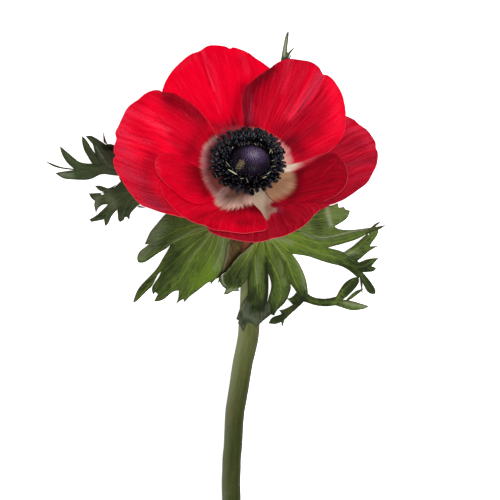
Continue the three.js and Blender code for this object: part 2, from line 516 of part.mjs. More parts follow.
add('stem', sweep(stemCentre, stemRadius, stemSides), COLORS.stem, 0.6);
for (const [name, spec] of Object.entries(TEPALS)) add(name, tepal(spec), COLORS.tepal, 0.8);
add('pistil', turned(PISTIL_PROFILE, 18), COLORS.pistil, 0.6);
add('stamens_outer', stamenRing(STAMEN_ROWS.stamens_outer, 11), COLORS.stamen, 0.6);
add('stamens_inner', stamenRing(STAMEN_ROWS.stamens_inner, 29), COLORS.stamen, 0.6);
for (const [name, b] of Object.entries(BRACTS)) {
  const height = heightField(b.height, b.spread);
  let g = blade(b.outlines, height, b.step);
  if (b.holes) {
    let solid = solidOf(g);
    for (const hole of b.holes) {
      const shape = new THREE.Shape(hole.map(([px, py]) => new THREE.Vector2(...planToTable(px, py, Math.max(0.3, height(px, py))))));
      const e = new THREE.ExtrudeGeometry(shape, { depth: 60, bevelEnabled: false });
      e.translate(0, 0, -20);
      solid = solid.subtract(solidOf(e));
    }
    g = geometryFrom(solid);
  }
  add(name, g, COLORS.bract, 0.65);
}

export default group;
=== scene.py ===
"""Red anemone, cut and laid on a pale table, seen from straight above.

Everything is modelled in millimetres in the part's own frame and written to
the meshes in metres. Plan outlines are written in a drawing square of 500
units whose middle is (250, 250), 0.3 mm a unit, as in the CAD source.
"""
import math

import bpy
import numpy as np
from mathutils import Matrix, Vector
from mathutils.geometry import delaunay_2d_cdt


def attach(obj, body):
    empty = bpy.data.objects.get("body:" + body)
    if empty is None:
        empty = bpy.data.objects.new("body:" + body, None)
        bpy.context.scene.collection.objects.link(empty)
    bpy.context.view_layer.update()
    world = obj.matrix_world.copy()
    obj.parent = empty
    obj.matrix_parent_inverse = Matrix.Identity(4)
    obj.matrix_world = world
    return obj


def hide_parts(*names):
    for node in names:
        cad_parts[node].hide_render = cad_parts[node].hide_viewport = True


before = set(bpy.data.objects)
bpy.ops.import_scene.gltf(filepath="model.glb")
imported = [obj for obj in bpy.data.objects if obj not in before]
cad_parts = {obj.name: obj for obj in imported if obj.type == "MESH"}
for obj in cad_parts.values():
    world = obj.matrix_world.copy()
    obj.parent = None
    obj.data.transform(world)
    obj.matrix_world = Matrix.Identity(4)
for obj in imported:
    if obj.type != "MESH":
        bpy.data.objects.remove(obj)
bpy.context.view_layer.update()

# ---------------------------------------------------------------- frames
UNIT = 0.3
VIEW_HEIGHT = 700.0
LEVEL = 20.0
ORIGIN = np.array([-10.349, -59.211, 0.0])
HEART_PLAN = (250.0, 176.0)
HEART_Z = 19.0
AXIS = np.array([0.05, 0.574, 0.817]); AXIS /= np.linalg.norm(AXIS)
BOWL_RADIUS = 37.0
FOOT_RADIUS = 4.0
FOOT_WIDTH = 3.6


def plan(px, py, z):
    k = 1 - (z - LEVEL) / VIEW_HEIGHT
    return np.stack([(px - 250) * UNIT * k, (250 - py) * UNIT * k, z + 0 * px], -1)


HEART = plan(np.array(HEART_PLAN[0]), np.array(HEART_PLAN[1]), np.array(HEART_Z))
UP = np.array([0.0, 1, 0]) - AXIS[1] * AXIS; UP /= np.linalg.norm(UP)
SIDE = np.cross(UP, AXIS)


def from_flower(x, y, h):
    return HEART + np.multiply.outer(x, SIDE) + np.multiply.outer(y, UP) + np.multiply.outer(h, AXIS)


def bowl(x, y):
    r = np.hypot(x, y) + 1e-9
    s = y / r
    a = 9.75 - 2.5 * s + 0.75 * s * s
    q = r / BOWL_RADIUS
    return a * (0.25 * q + 0.75 * q * q)


def drawn_on(H, px, py):
    """Flower-frame (x, y) seen at drawing points on the surface h = H(x, y)."""
    def seen(x, y):
        p = from_flower(x, y, H(x, y))
        k = 1 - (p[..., 2] - LEVEL) / VIEW_HEIGHT
        return p[..., 0] / k / UNIT + 250, 250 - p[..., 1] / k / UNIT
    x, y = (px - HEART_PLAN[0]) * UNIT, (HEART_PLAN[1] - py) * UNIT
    for _ in range(40):
        e = 1e-3
        fx, fy = seen(x, y)
        ax, ay = seen(x + e, y)
        bx, by = seen(x, y + e)
        a, b, c, d = (ax - fx) / e, (bx - fx) / e, (ay - fy) / e, (by - fy) / e
        u, v, det = px - fx, py - fy, a * d - b * c
        dx, dy = (u * d - b * v) / det, (a * v - c * u) / det
        n = np.hypot(dx, dy) + 1e-12
        f = np.minimum(1, 4 / n)
        x, y = x + dx * f, y + dy * f
    return np.stack([x, y], -1)


# ---------------------------------------------------------------- helpers
def smooth_line(points, per=10):
    """Centripetal Catmull-Rom through the points."""
    p = np.array(points, float)
    if len(p) < 3:
        return p
    p = np.vstack([2 * p[0] - p[1], p, 2 * p[-1] - p[-2]])
    out = []
    for i in range(1, len(p) - 2):
        p0, p1, p2, p3 = p[i - 1:i + 3]
        t = [0.0]
        for a, b in ((p0, p1), (p1, p2), (p2, p3)):
            t.append(t[-1] + max(np.linalg.norm(b - a), 1e-6) ** 0.5)
        for s in np.linspace(t[1], t[2], per, endpoint=False):
            a1 = (t[1] - s) / (t[1] - t[0]) * p0 + (s - t[0]) / (t[1] - t[0]) * p1
            a2 = (t[2] - s) / (t[2] - t[1]) * p1 + (s - t[1]) / (t[2] - t[1]) * p2
            a3 = (t[3] - s) / (t[3] - t[2]) * p2 + (s - t[2]) / (t[3] - t[2]) * p3
            b1 = (t[2] - s) / (t[2] - t[0]) * a1 + (s - t[0]) / (t[2] - t[0]) * a2
            b2 = (t[3] - s) / (t[3] - t[1]) * a2 + (s - t[1]) / (t[3] - t[1]) * a3
            out.append((t[2] - s) / (t[2] - t[1]) * b1 + (s - t[1]) / (t[2] - t[1]) * b2)
    out.append(p[-2])
    return np.array(out)


def along(points, t):
    """Points at shares t of a polyline's length."""
    d = np.concatenate([[0], np.cumsum(np.linalg.norm(np.diff(points, axis=0), axis=1))])
    s = np.clip(t, 0, 1) * d[-1]
    return np.stack([np.interp(s, d, points[:, k]) for k in range(points.shape[1])], -1)


def step(x, a, b):
    t = np.clip((x - a) / (b - a), 0, 1)
    return t * t * (3 - 2 * t)


def wave(seed, x, octaves=3, base=4.0):
    """Smooth 1D noise, seeded, about -1 to 1."""
    rng = np.random.RandomState(seed)
    out = np.zeros_like(np.asarray(x, float))
    total, amp, f = 0, 1.0, base
    for _ in range(octaves):
        n = int(f) + 4
        k = rng.uniform(-1, 1, n + 2)
        s = np.clip(np.asarray(x) * f, 0, n) % n
        i = np.floor(s).astype(int)
        w = s - i
        w = w * w * (3 - 2 * w)
        out = out + amp * (k[i] * (1 - w) + k[np.minimum(i + 1, n + 1)] * w)
        total += amp
        amp *= 0.5
        f *= 2.0
    return out / total * 1.6


def stroke(px, py, line, width):
    """Soft brush mark: 1 on the line, fading over the width."""
    line = smooth_line(line, 4)
    best = np.full(np.shape(px), 1e9)
    for a, b in zip(line[:-1], line[1:]):
        d = b - a
        t = np.clip(((px - a[0]) * d[0] + (py - a[1]) * d[1]) / (d @ d + 1e-12), 0, 1)
        best = np.minimum(best, (px - a[0] - t * d[0]) ** 2 + (py - a[1] - t * d[1]) ** 2)
    return np.exp(-best / (2 * (width * 0.6) ** 2))


def region(px, py, outline):
    """Depth in mm inside a drawn outline, negative outside it."""
    p = smooth_line(list(outline) + [outline[0]], 4)
    x, y = np.ravel(px), np.ravel(py)
    best, hit = np.full(x.shape, 1e9), np.zeros(x.shape, bool)
    for a, b in zip(p[:-1], p[1:]):
        d = b - a
        t = np.clip(((x - a[0]) * d[0] + (y - a[1]) * d[1]) / (d @ d + 1e-12), 0, 1)
        best = np.minimum(best, np.hypot(x - a[0] - t * d[0], y - a[1] - t * d[1]))
        if a[1] != b[1]:
            hit ^= ((a[1] > y) != (b[1] > y)) & (x < d[0] * (y - a[1]) / d[1] + a[0])
    return (np.where(hit, best, -best) * UNIT).reshape(np.shape(px))


def mesh_object(name, verts_mm, faces, body="root", attributes=None, uvs=None, smooth=True, shift=True):
    """verts in mm (before the origin shift), faces as lists of indices."""
    v = (np.asarray(verts_mm, float) - (ORIGIN if shift else 0)) * 0.001
    me = bpy.data.meshes.new(name)
    faces = list(map(tuple, faces)) if not isinstance(faces, np.ndarray) else faces
    if isinstance(faces, np.ndarray):
        n, k = faces.shape
        me.vertices.add(len(v))
        me.vertices.foreach_set("co", v.astype(np.float32).ravel())
        me.loops.add(n * k)
        me.loops.foreach_set("vertex_index", faces.astype(np.int32).ravel())
        me.polygons.add(n)
        me.polygons.foreach_set("loop_start", np.arange(0, n * k, k, dtype=np.int32))
        me.update(calc_edges=True)
    else:
        me.from_pydata(v.tolist(), [], faces)
    me.validate()
    for key, values in (attributes or {}).items():
        a = me.attributes.new(key, "FLOAT", "POINT")
        a.data.foreach_set("value", np.asarray(values, np.float32))
    for key, uv in (uvs or {}).items():
        layer = me.uv_layers.new(name=key)
        idx = np.empty(len(me.loops), np.int32)
        me.loops.foreach_get("vertex_index", idx)
        layer.data.foreach_set("uv", np.asarray(uv, np.float32)[idx].ravel())
    me.polygons.foreach_set("use_smooth", np.full(len(me.polygons), smooth))
    me.update()
    o = bpy.data.objects.new(name, me)
    bpy.context.scene.collection.objects.link(o)
    if body:
        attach(o, body)
    return o


def normals_of(P):
    du = np.gradient(P, axis=1)
    dv = np.gradient(P, axis=0)
    n = np.cross(du, dv)
    return n / (np.linalg.norm(n, axis=-1, keepdims=True) + 1e-12)


def closed_sheet(P, thickness):
    """Vertices and quads of a closed sheet on a grid of mid-surface points.
    Returns verts, faces, grid index of each vertex, and 0 for the upper and 1 for the under side."""
    nj, ni = P.shape[:2]
    n = normals_of(P)
    if np.mean(n @ AXIS) < 0:
        P = P[:, ::-1]
        n = -n[:, ::-1]
        flipped = True
    else:
        flipped = False
    th = thickness if np.isscalar(thickness) else (thickness[:, ::-1] if flipped else thickness)[..., None]
    top, low = P + n * th / 2, P - n * th / 2
    # rounded edge: a ring half way, pushed out a little
    V = [top.reshape(-1, 3), low.reshape(-1, 3)]
    idx = np.arange(nj * ni).reshape(nj, ni)
    F = []
    a, b, c, d = idx[:-1, :-1], idx[:-1, 1:], idx[1:, 1:], idx[1:, :-1]
    F.append(np.stack([a, b, c, d], -1).reshape(-1, 4))
    o = nj * ni
    F.append(np.stack([a + o, d + o, c + o, b + o], -1).reshape(-1, 4))
    ring = np.concatenate([idx[0, :-1], idx[:-1, -1], idx[-1, :0:-1], idx[:0:-1, 0]])
    centre = P.reshape(-1, 3)[idx[nj // 2, ni // 2]]
    p = P.reshape(-1, 3)
    # outward direction at the edge: away from the grid's inner neighbour
    jj, ii = np.unravel_index(ring, (nj, ni))
    inner = idx[np.clip(jj, 1, nj - 2), np.clip(ii, 1, ni - 2)]
    out = p[ring] - p[inner]
    out /= np.linalg.norm(out, axis=-1, keepdims=True) + 1e-12
    tr = th if np.isscalar(th) else th.reshape(-1, 1)[ring]
    mid = p[ring] + out * tr * 0.4
    V.append(mid)
    m = 2 * o + np.arange(len(ring))
    nx = np.roll(np.arange(len(ring)), -1)
    F.append(np.stack([ring, m, m[nx], ring[nx]], -1))
    F.append(np.stack([m, ring + o, ring[nx] + o, m[nx]], -1))
    grid = np.concatenate([idx.ravel(), idx.ravel(), ring])
    if flipped:
        back = np.arange(nj * ni).reshape(nj, ni)[:, ::-1].ravel()
        grid = back[grid]
    side = np.concatenate([np.zeros(o), np.ones(o), np.full(len(ring), 0.5)])
    return np.vstack(V), np.vstack(F), grid, side


# ---------------------------------------------------------------- node material helper
class Nodes:
    def __init__(self, name):
        self.mat = bpy.data.materials.new(name)
        self.mat.use_nodes = True
        self.t = self.mat.node_tree
        self.bsdf = self.t.nodes["Principled BSDF"]

    def new(self, kind, **props):
        n = self.t.nodes.new(kind)
        for k, v in props.items():
            setattr(n, k, v)
        return n

    def put(self, socket, value):
        if isinstance(value, bpy.types.NodeSocket):
            self.t.links.new(value, socket)
        else:
            socket.default_value = value

    def attr(self, name):
        return self.new("ShaderNodeAttribute", attribute_name=name).outputs["Fac"]

    def uv(self, name):
        return self.new("ShaderNodeUVMap", uv_map=name).outputs["UV"]

    def coords(self):
        return self.new("ShaderNodeTexCoord").outputs["Object"]

    def mapped(self, vector, scale=(1, 1, 1), offset=(0, 0, 0)):
        n = self.new("ShaderNodeMapping")
        self.put(n.inputs["Vector"], vector)
        n.inputs["Scale"].default_value = scale
        n.inputs["Location"].default_value = offset
        return n.outputs["Vector"]

    def noise(self, vector, scale=1.0, detail=2.0, rough=0.5, distortion=0.0):
        n = self.new("ShaderNodeTexNoise")
        self.put(n.inputs["Vector"], vector)
        n.inputs["Scale"].default_value = scale
        n.inputs["Detail"].default_value = detail
        n.inputs["Roughness"].default_value = rough
        n.inputs["Distortion"].default_value = distortion
        return n.outputs["Fac"]

    def voronoi(self, vector, scale=1.0, feature="F1"):
        n = self.new("ShaderNodeTexVoronoi", feature=feature)
        self.put(n.inputs["Vector"], vector)
        n.inputs["Scale"].default_value = scale
        return n.outputs["Distance"]

    def math(self, op, a, b=0.0, c=0.0, clamp=False):
        n = self.new("ShaderNodeMath", operation=op)
        n.use_clamp = clamp
        for s, v in zip(n.inputs, (a, b, c)):
            self.put(s, v)
        return n.outputs[0]

    def ramp(self, x, a, b, lo=0.0, hi=1.0, smooth=True):
        n = self.new("ShaderNodeMapRange", interpolation_type="SMOOTHSTEP" if smooth else "LINEAR")
        self.put(n.inputs["Value"], x)
        for k, v in zip(("From Min", "From Max", "To Min", "To Max"), (a, b, lo, hi)):
            n.inputs[k].default_value = v
        return n.outputs[0]

    def mix(self, fac, a, b, blend="MIX"):
        n = self.new("ShaderNodeMix", data_type="RGBA", blend_type=blend)
        n.clamp_factor = True
        self.put(n.inputs[0], fac)
        for s, v in ((n.inputs[6], a), (n.inputs[7], b)):
            self.put(s, (*v, 1.0) if isinstance(v, tuple) and len(v) == 3 else v)
        return n.outputs[2]

    def bump(self, height, strength=0.5, distance=0.0002, normal=None):
        n = self.new("ShaderNodeBump")
        self.put(n.inputs["Height"], height)
        n.inputs["Strength"].default_value = strength
        n.inputs["Distance"].default_value = distance
        if normal is not None:
            self.put(n.inputs["Normal"], normal)
        return n.outputs[0]

    def surface(self, color=None, rough=None, spec=None, sheen=None, normal=None, sheen_tint=None, sheen_rough=None, coat=None):
        b = self.bsdf
        if color is not None:
            self.put(b.inputs["Base Color"], (*color, 1.0) if isinstance(color, tuple) and len(color) == 3 else color)
        if rough is not None:
            self.put(b.inputs["Roughness"], rough)
        if spec is not None:
            b.inputs["Specular IOR Level"].default_value = spec
        if sheen is not None:
            b.inputs["Sheen Weight"].default_value = sheen
        if sheen_tint is not None:
            b.inputs["Sheen Tint"].default_value = (*sheen_tint, 1.0)
        if sheen_rough is not None:
            b.inputs["Sheen Roughness"].default_value = sheen_rough
        if coat is not None:
            b.inputs["Coat Weight"].default_value = coat
        if normal is not None:
            self.put(b.inputs["Normal"], normal)
        return self.mat


# ---------------------------------------------------------------- camera
cam_data = bpy.data.cameras.new("camera")
cam_data.sensor_width = 36.0
cam_data.lens = 36.0 * VIEW_HEIGHT / (500 * UNIT)
cam_data.clip_start, cam_data.clip_end = 0.02, 20.0
camera = bpy.data.objects.new("camera", cam_data)
camera.location = Vector((-ORIGIN[0], -ORIGIN[1], LEVEL + VIEW_HEIGHT)) * 0.001
bpy.context.scene.collection.objects.link(camera)
bpy.context.scene.camera = camera

# ---------------------------------------------------------------- tepals
# bumps: (u, width in u, v, width in v, mm towards the viewer). The value after the seed and the marks (line, width,
# amount) are painted shade below 0 and painted highlight above 0 on each blade; the value after that is the base of its
# painted pink sheen.
TEPALS = {
    "tepal_top": dict(
        level=0, foot=95, curl=2.2, seed=3, tone=-0.08, blush=-0.05,
        marks=[([[206, 58], [222, 60], [238, 64]], 7, -0.07), ([[244, 60], [252, 76], [250, 92]], 7, -0.24), ([[212, 108], [224, 118]], 8, -0.14), ([[243, 88], [238, 105], [234, 128]], 8, -0.55), ([[212, 124], [228, 132]], 7, -0.30), ([[199.5, 52], [204, 66], [210, 86]], 1.2, -0.34), ([[206, 56], [211, 76]], 0.9, -0.16), ([[215, 126], [236, 124]], 6, -0.22),
               ([[217, 52], [221, 66], [223, 80]], 1.2, -0.12), ([[226, 84], [228, 104]], 2, -0.10), ([[188, 60], [196, 56]], 3, -0.10), ([[190, 100], [204, 112]], 4, -0.06)],
        left=[[240, 162], [220, 150], [202, 138], [185, 124], [172, 112], [165, 103], [162, 96]],
        rim=[[162.5, 90], [166, 81], [173, 70], [181.5, 61.5], [191.5, 54], [199, 51.5], [208, 46], [216, 45.4], [226, 47], [230, 49], [233, 47.6], [243, 50.4], [250.4, 54], [255.3, 57.8], [262, 62], [269, 67.4], [277, 74], [282, 84]],
        right=[[285, 97], [281, 115], [272, 130], [262, 145], [255, 160]],
        bumps=[(0.5, 0.22, 0.7, 0.35, 1.0), (0.78, 0.12, 0.7, 0.4, -0.5), (0.0, 0.10, 0.14, 0.15, 2.5)]),
    "tepal_far_right": dict(
        level=0, foot=2, curl=1.0, seed=7, tone=-0.62, blush=0.45,
        marks=[([[346, 122], [362, 132], [372, 146]], 7, 0.22), ([[338, 146], [376, 142]], 3, -0.08), ([[348, 164], [376, 160]], 2, -0.16), ([[352, 170], [375, 167]], 2.2, 0.18),
               ([[345, 156], [376, 150]], 1, 0.22), ([[343, 150], [374, 147]], 0.8, -0.10), ([[350, 178], [371, 174]], 1.2, -0.12), ([[330, 202], [346, 196], [360, 186]], 5, -0.16)],
        left=[[264, 166], [278, 158], [297, 145], [315, 132], [332, 120]],
        rim=[[340, 116], [346, 116], [350, 117.6], [354.4, 120], [358.5, 124], [363, 127], [367, 130], [371, 135], [375.3, 142.4], [376, 149], [377.3, 151], [377.7, 157.4], [376.5, 165], [372.8, 173], [367, 183], [359.5, 189], [351, 195], [343, 200], [336, 203]],
        right=[[326, 206.3], [318, 210.4], [305, 207], [292, 198], [278, 188], [266, 180]],
        bumps=[(0.5, 0.3, 0.8, 0.3, 0.8)]),
    "tepal_front": dict(
        level=0.85, foot=284, curl=0.4, seed=12, tone=-0.72, blush=0.2,
        marks=[([[305, 203], [316, 208]], 6, 0.14), ([[273, 204], [286, 216]], 8, -0.14), ([[280, 207], [296, 213], [306, 221]], 1.4, 0.12), ([[276, 216], [284, 228]], 1.4, -0.10), ([[214, 232], [240, 236], [262, 237]], 3, -0.04)],
        left=[[247, 185], [240, 190], [232, 196], [224, 203], [216, 210], [209.6, 217.6]],
        rim=[[206.7, 226], [209.4, 231], [215, 234.4], [223, 237], [232, 239], [239.4, 240.6], [248, 241.7], [257, 242.2], [266, 240.6], [273, 238.3], [282, 236.7], [289, 234], [297, 230], [304, 225.6], [309.4, 220.6], [314, 215], [319, 210.6]],
        right=[[320, 204], [313, 198], [300, 193], [287, 190], [274, 188], [264, 185]],
        bumps=[]),
    "tepal_top_right": dict(
        level=0.85, foot=45, curl=1.5, seed=15, tone=-0.46, blush=0.2,
        marks=[([[268, 68], [251, 88], [246, 108], [247, 134]], 10, -0.62), ([[272, 76], [262, 100], [258, 124]], 6, -0.12), ([[278, 130], [292, 123], [304, 115]], 8, -0.26),
               ([[281, 144], [294, 140]], 8, -0.20), ([[281, 144], [298, 138], [315, 129]], 9, -0.27), ([[288, 150], [300, 150]], 9, -0.40), ([[322, 77], [312, 92], [298, 112]], 1.1, -0.42), ([[327, 82], [318, 96], [304, 112]], 1.0, -0.34), ([[318, 76], [305, 94], [292, 112]], 1.0, -0.30), ([[330, 88], [322, 100], [310, 112]], 1.2, -0.20), ([[290, 150], [312, 142], [326, 138]], 8, 0.16),
               ([[297, 64], [286, 88], [281, 112]], 4, 0.16), ([[313, 69], [303, 92], [290, 117]], 5, 0.30), ([[333, 84], [338, 105], [340, 128]], 11, 0.62), ([[326, 128], [334, 136], [318, 146]], 8, 0.16),
               ([[256, 110], [262, 127], [268, 134]], 5, 0.12), ([[282, 74], [274, 98], [270, 122]], 1.3, -0.16), ([[306, 72], [296, 94], [286, 116]], 1.2, -0.16), ([[290, 96], [282, 118]], 1.0, -0.12), ([[316, 92], [306, 108], [292, 124]], 1.0, 0.14)],
        left=[[249, 152], [246, 140], [244, 127], [243, 114.6], [241.7, 99.7]],
        rim=[[243, 91.4], [248.7, 84], [259.5, 74], [269, 67.4], [280, 61.6], [288, 59], [300.5, 60.4], [311, 62.4], [318.7, 67.4], [323.7, 75], [326.6, 75], [332, 78.6], [337, 85], [342, 94], [345, 106], [346, 116], [345.3, 127], [342.8, 135.4], [338.6, 142]],
        right=[[329.5, 151], [316, 156], [304.6, 160.3], [291.4, 163.2], [276, 167]],
        bumps=[(0.38, 0.2, 0.75, 0.4, 2.2), (0.6, 0.1, 0.7, 0.3, -0.5)]),
    "tepal_left": dict(
        level=1.7, foot=172, curl=1.5, seed=21, tone=-0.22, blush=0.1,
        marks=[([[172, 98], [194, 114]], 12, -0.62), ([[162, 94], [172, 108]], 7, -0.16), ([[176, 140], [194, 150]], 10, -0.14), ([[128, 110], [146, 117], [166, 130]], 4, 0.14), ([[136, 101], [152, 110], [170, 134]], 2.2, -0.26), ([[152, 131], [166, 139], [178, 146]], 2.0, -0.26), ([[121, 133], [142, 138], [160, 146]], 1.6, -0.24), ([[119, 149], [146, 152]], 1.4, -0.20), ([[150, 110], [156, 130], [166, 146]], 10, 0.32), ([[128, 128], [138, 152]], 10, 0.14), ([[206, 122], [196, 140], [188, 156]], 10, -0.42),
               ([[213, 138], [204, 155], [200, 166]], 8, -0.50), ([[152, 158], [146, 175], [150, 195], [166, 209]], 10, -0.38), ([[128, 168], [138, 192], [156, 208]], 10, -0.22), ([[163, 93], [167, 112]], 2.5, -0.08),
               ([[122, 160], [146, 165]], 1.6, -0.14)],
        left=[[240, 176], [232, 184], [222, 196], [210, 208], [197, 216], [183, 217.5], [175, 215.5], [160, 212], [148, 207.7]],
        rim=[[142, 205.6], [135.7, 199.4], [128, 190], [121.6, 180], [116.6, 172], [113.7, 164.6], [113.7, 158], [115.8, 156.3], [114, 152], [114.5, 145.5], [116.6, 139], [115.6, 133], [119, 125.6], [123, 116.5], [127, 109], [132, 104], [138, 100], [145, 94], [151, 91], [158, 89.8], [162.5, 90], [174, 91.4]],
        right=[[184, 96.4], [195, 104], [204, 113], [209.7, 121], [214.7, 129.6], [221, 139], [229, 151], [238, 164]],
        bumps=[(0.62, 0.25, 0.7, 0.35, 2.0)]),
    "tepal_right_inner": dict(
        level=1.7, foot=335, curl=0.8, seed=25, tone=-0.80, blush=0.1,
        marks=[([[299, 166], [297, 185], [291, 199]], 7, -0.22), ([[320, 186], [340, 176]], 9, -0.04), ([[321, 177], [336, 161]], 0.9, 0.26), ([[316, 190], [342, 182]], 0.8, 0.14), ([[312, 196], [336, 190]], 1.2, 0.10), ([[318, 157], [334, 158]], 5, -0.08)],
        left=[[268, 174], [280, 173], [290, 171], [298, 168], [310, 161], [318, 156], [329, 151]],
        rim=[[335.5, 152.4], [341, 156.5], [345.4, 163], [347.5, 170], [348, 176.4], [346, 183], [343.7, 187], [339, 191.4], [331, 195.5], [323, 199]],
        right=[[310, 199], [303, 201], [295, 202.5], [285, 203.5], [276, 202], [266, 192], [260, 184]],
        bumps=[(0.5, 0.3, 0.85, 0.3, 0.5)]),
    "tepal_front_left": dict(
        level=2.55, foot=236, curl=0.6, seed=31, tone=-0.40, blush=0.0,
        marks=[([[163, 188], [171, 203], [184, 215]], 7, 0.12), ([[198, 208], [216, 209]], 6, 0.08), ([[228, 205], [244, 204], [260, 211]], 7, -0.52), ([[222, 213], [242, 213]], 4, -0.15),
               ([[188, 221], [212, 213], [230, 202]], 1.6, -0.18), ([[200, 216], [224, 208]], 1.2, -0.14), ([[214, 220], [238, 216]], 1.2, -0.12), ([[238, 222], [260, 221]], 5, -0.12), ([[196, 224], [216, 227]], 3, -0.15), ([[240, 224], [262, 226]], 5, -0.22), ([[232, 212], [252, 208]], 5, -0.22)],
        left=[[250, 184], [250, 192], [252, 200], [256.3, 204.3], [260.7, 208.8], [264, 214], [267, 220]],
        rim=[[268, 224], [265, 228], [257, 229.3], [248, 230.6], [239, 230.6], [230, 229.7], [219.6, 228.4], [207, 225.7], [198, 223.8], [189.6, 220.5], [183, 216], [176, 209.7], [169.7, 203], [164, 195], [160.6, 187], [159.8, 183]],
        right=[[164, 178], [175, 177], [190, 180], [205, 184], [220, 184], [235, 178]],
        bumps=[]),
    "tepal_left_inner": dict(
        level=3.4, foot=200, curl=0, seed=37, tone=-0.30, blush=0.0,
        marks=[([[197, 158], [199, 175], [206, 192]], 9, -0.62), ([[188, 170], [190, 188]], 8, -0.24), ([[160, 160], [164, 172]], 6, 0.10), ([[180, 190], [198, 196]], 3, 0.08)],
        left=[[240, 177], [230, 183], [221, 191], [213, 199], [206, 201.5], [199.6, 203], [191, 201]],
        rim=[[183, 197], [174.7, 190.6], [166.4, 183], [160.6, 175.7], [156.4, 169], [154.8, 164], [155.6, 159], [159, 155], [163, 153.7], [168, 153]],
        right=[[175, 155], [183, 158.5], [190, 161.5], [198, 166], [210, 168], [224, 168], [236, 170]],
        bumps=[(0.5, 0.3, 0.8, 0.3, 0.8)]),
}

# outline of the pale foot of each tepal
ZONES = {
    "tepal_top": [[214, 135], [220, 131.5], [228, 128.5], [238, 127], [248, 127], [257, 129], [262, 140], [250, 165], [235, 165], [218, 150]],
    "tepal_top_right": [[250, 127.5], [257, 129], [264, 131], [271, 135], [279, 140], [285.5, 145], [289.8, 150.4], [291.4, 157], [293, 166], [270, 176], [250, 165], [244, 140]],
    "tepal_far_right": [[268, 160], [286, 158], [296, 155.5], [306, 152.4], [317, 151.6], [313, 158.4], [304, 163.6], [298, 167.4], [291, 172], [284, 176], [268, 178]],
    "tepal_left": [[236, 176], [214, 182], [201, 174], [200.6, 163], [200.8, 157], [202, 151], [204.2, 146], [207, 143], [210, 139.8], [215, 136], [226, 138], [238, 150]],
    "tepal_left_inner": [[240, 160], [205, 151], [199.6, 157], [200.6, 166], [202, 174], [204.4, 182.4], [208, 189], [212.4, 194.6], [216, 200], [222, 207], [240, 200]],
    "tepal_front_left": [[236, 176], [206, 184], [209, 192.5], [213, 198], [215.6, 203.5], [220.6, 208], [227, 209.6], [233, 209.2], [240, 207.6], [246, 206], [252, 203.8], [258, 202], [262, 190]],
    "tepal_front": [[266, 184], [269, 188], [272, 194], [274, 199], [272.6, 202], [270.2, 203.8], [270, 206], [272, 208.2], [276.6, 209.4], [276, 212], [272, 212.8], [269.4, 215.4], [268, 220], [261, 217], [251, 206], [246, 196], [244, 180]],
    "tepal_right_inner": [[262, 176], [280, 171], [290.4, 170.5], [293.6, 175], [294.6, 182], [293, 188.5], [288.6, 193.6], [283, 197.2], [277, 199.4], [271, 200.6], [266, 202], [260, 196]],
}
# how strongly the veins show, over each blade and along some of its folds
FOLDS = {
    "tepal_top": (0.75, [([[201, 52], [208, 72], [214, 96]], 5, 0.7), ([[238, 52], [246, 74], [246, 96]], 10, 0.4)]),
    "tepal_top_right": (0.30, [([[284, 134], [304, 128], [328, 122]], 12, -0.30), ([[324, 76], [308, 94], [290, 116]], 11, 0.95), ([[258, 80], [250, 100], [248, 130]], 7, 0.45), ([[290, 62], [284, 90], [276, 112]], 8, 0.35)]),
    "tepal_left": (0.55, [([[122, 112], [142, 120], [164, 130]], 10, 1.4), ([[118, 138], [150, 150]], 9, 1.0), ([[130, 180], [150, 200]], 9, 0.5)]),
    "tepal_left_inner": (0.45, []),
    "tepal_front_left": (0.7, []),
    "tepal_front": (0.7, []),
    "tepal_right_inner": (0.5, [([[318, 184], [340, 168]], 8, 0.6)]),
    "tepal_far_right": (0.5, []),
}
# stretches of the free edge without its pale line
BARE = {
    "tepal_left_inner": [([[176, 155], [200, 166], [236, 170]], 6), ([[176, 192], [186, 199], [200, 203]], 6), ([[205, 202], [214, 198], [224, 188], [240, 178]], 5)],
    "tepal_right_inner": [([[264, 184], [270, 200], [285, 203.5], [303, 201], [313, 198]], 6)],
    "tepal_front": [([[262, 186], [290, 191], [318, 204]], 6)],
    "tepal_front_left": [([[250, 184], [252, 200]], 5), ([[176, 177], [235, 180]], 5)],
    "tepal_left": [([[232, 184], [210, 208]], 5), ([[224, 144], [238, 164]], 5)],
    "tepal_far_right": [([[264, 166], [300, 143]], 5), ([[266, 180], [318, 210]], 5)],
}
# painted pink sheen on ridges and folds, in strokes: line, width, amount
SHEEN_AND_BLUSH = {
    "tepal_top": [([[203, 52], [208, 68], [214, 90]], 2.0, 1.3), ([[240, 54], [246, 72]], 6, 0.3), ([[176, 70], [196, 56]], 4, 0.4), ([[211, 60], [217, 84], [220, 112]], 3, 0.4), ([[216, 128], [236, 122]], 5, 0.4)],
    "tepal_left": [([[118, 118], [122, 150], [132, 178], [156, 209]], 12, 1.1), ([[128, 108], [146, 116], [166, 130]], 5, 1.3), ([[120, 136], [150, 144]], 2.5, 0.7)],
    "tepal_top_right": [([[320, 78], [306, 96], [290, 116]], 6, 1.2), ([[290, 64], [284, 90]], 6, 0.5), ([[252, 96], [249, 120]], 3, 0.6)],
    "tepal_far_right": [([[346, 122], [362, 132], [372, 146]], 8, 0.6), ([[298, 163.4], [308, 159.6], [318, 155.6]], 2.4, 3.0), ([[340, 170], [374, 160]], 5, 0.5)],
    "tepal_front": [([[268, 214], [280, 210]], 4, 1.0)],
    "tepal_left_inner": [([[156, 162], [160, 174]], 3, 0.8)],
}
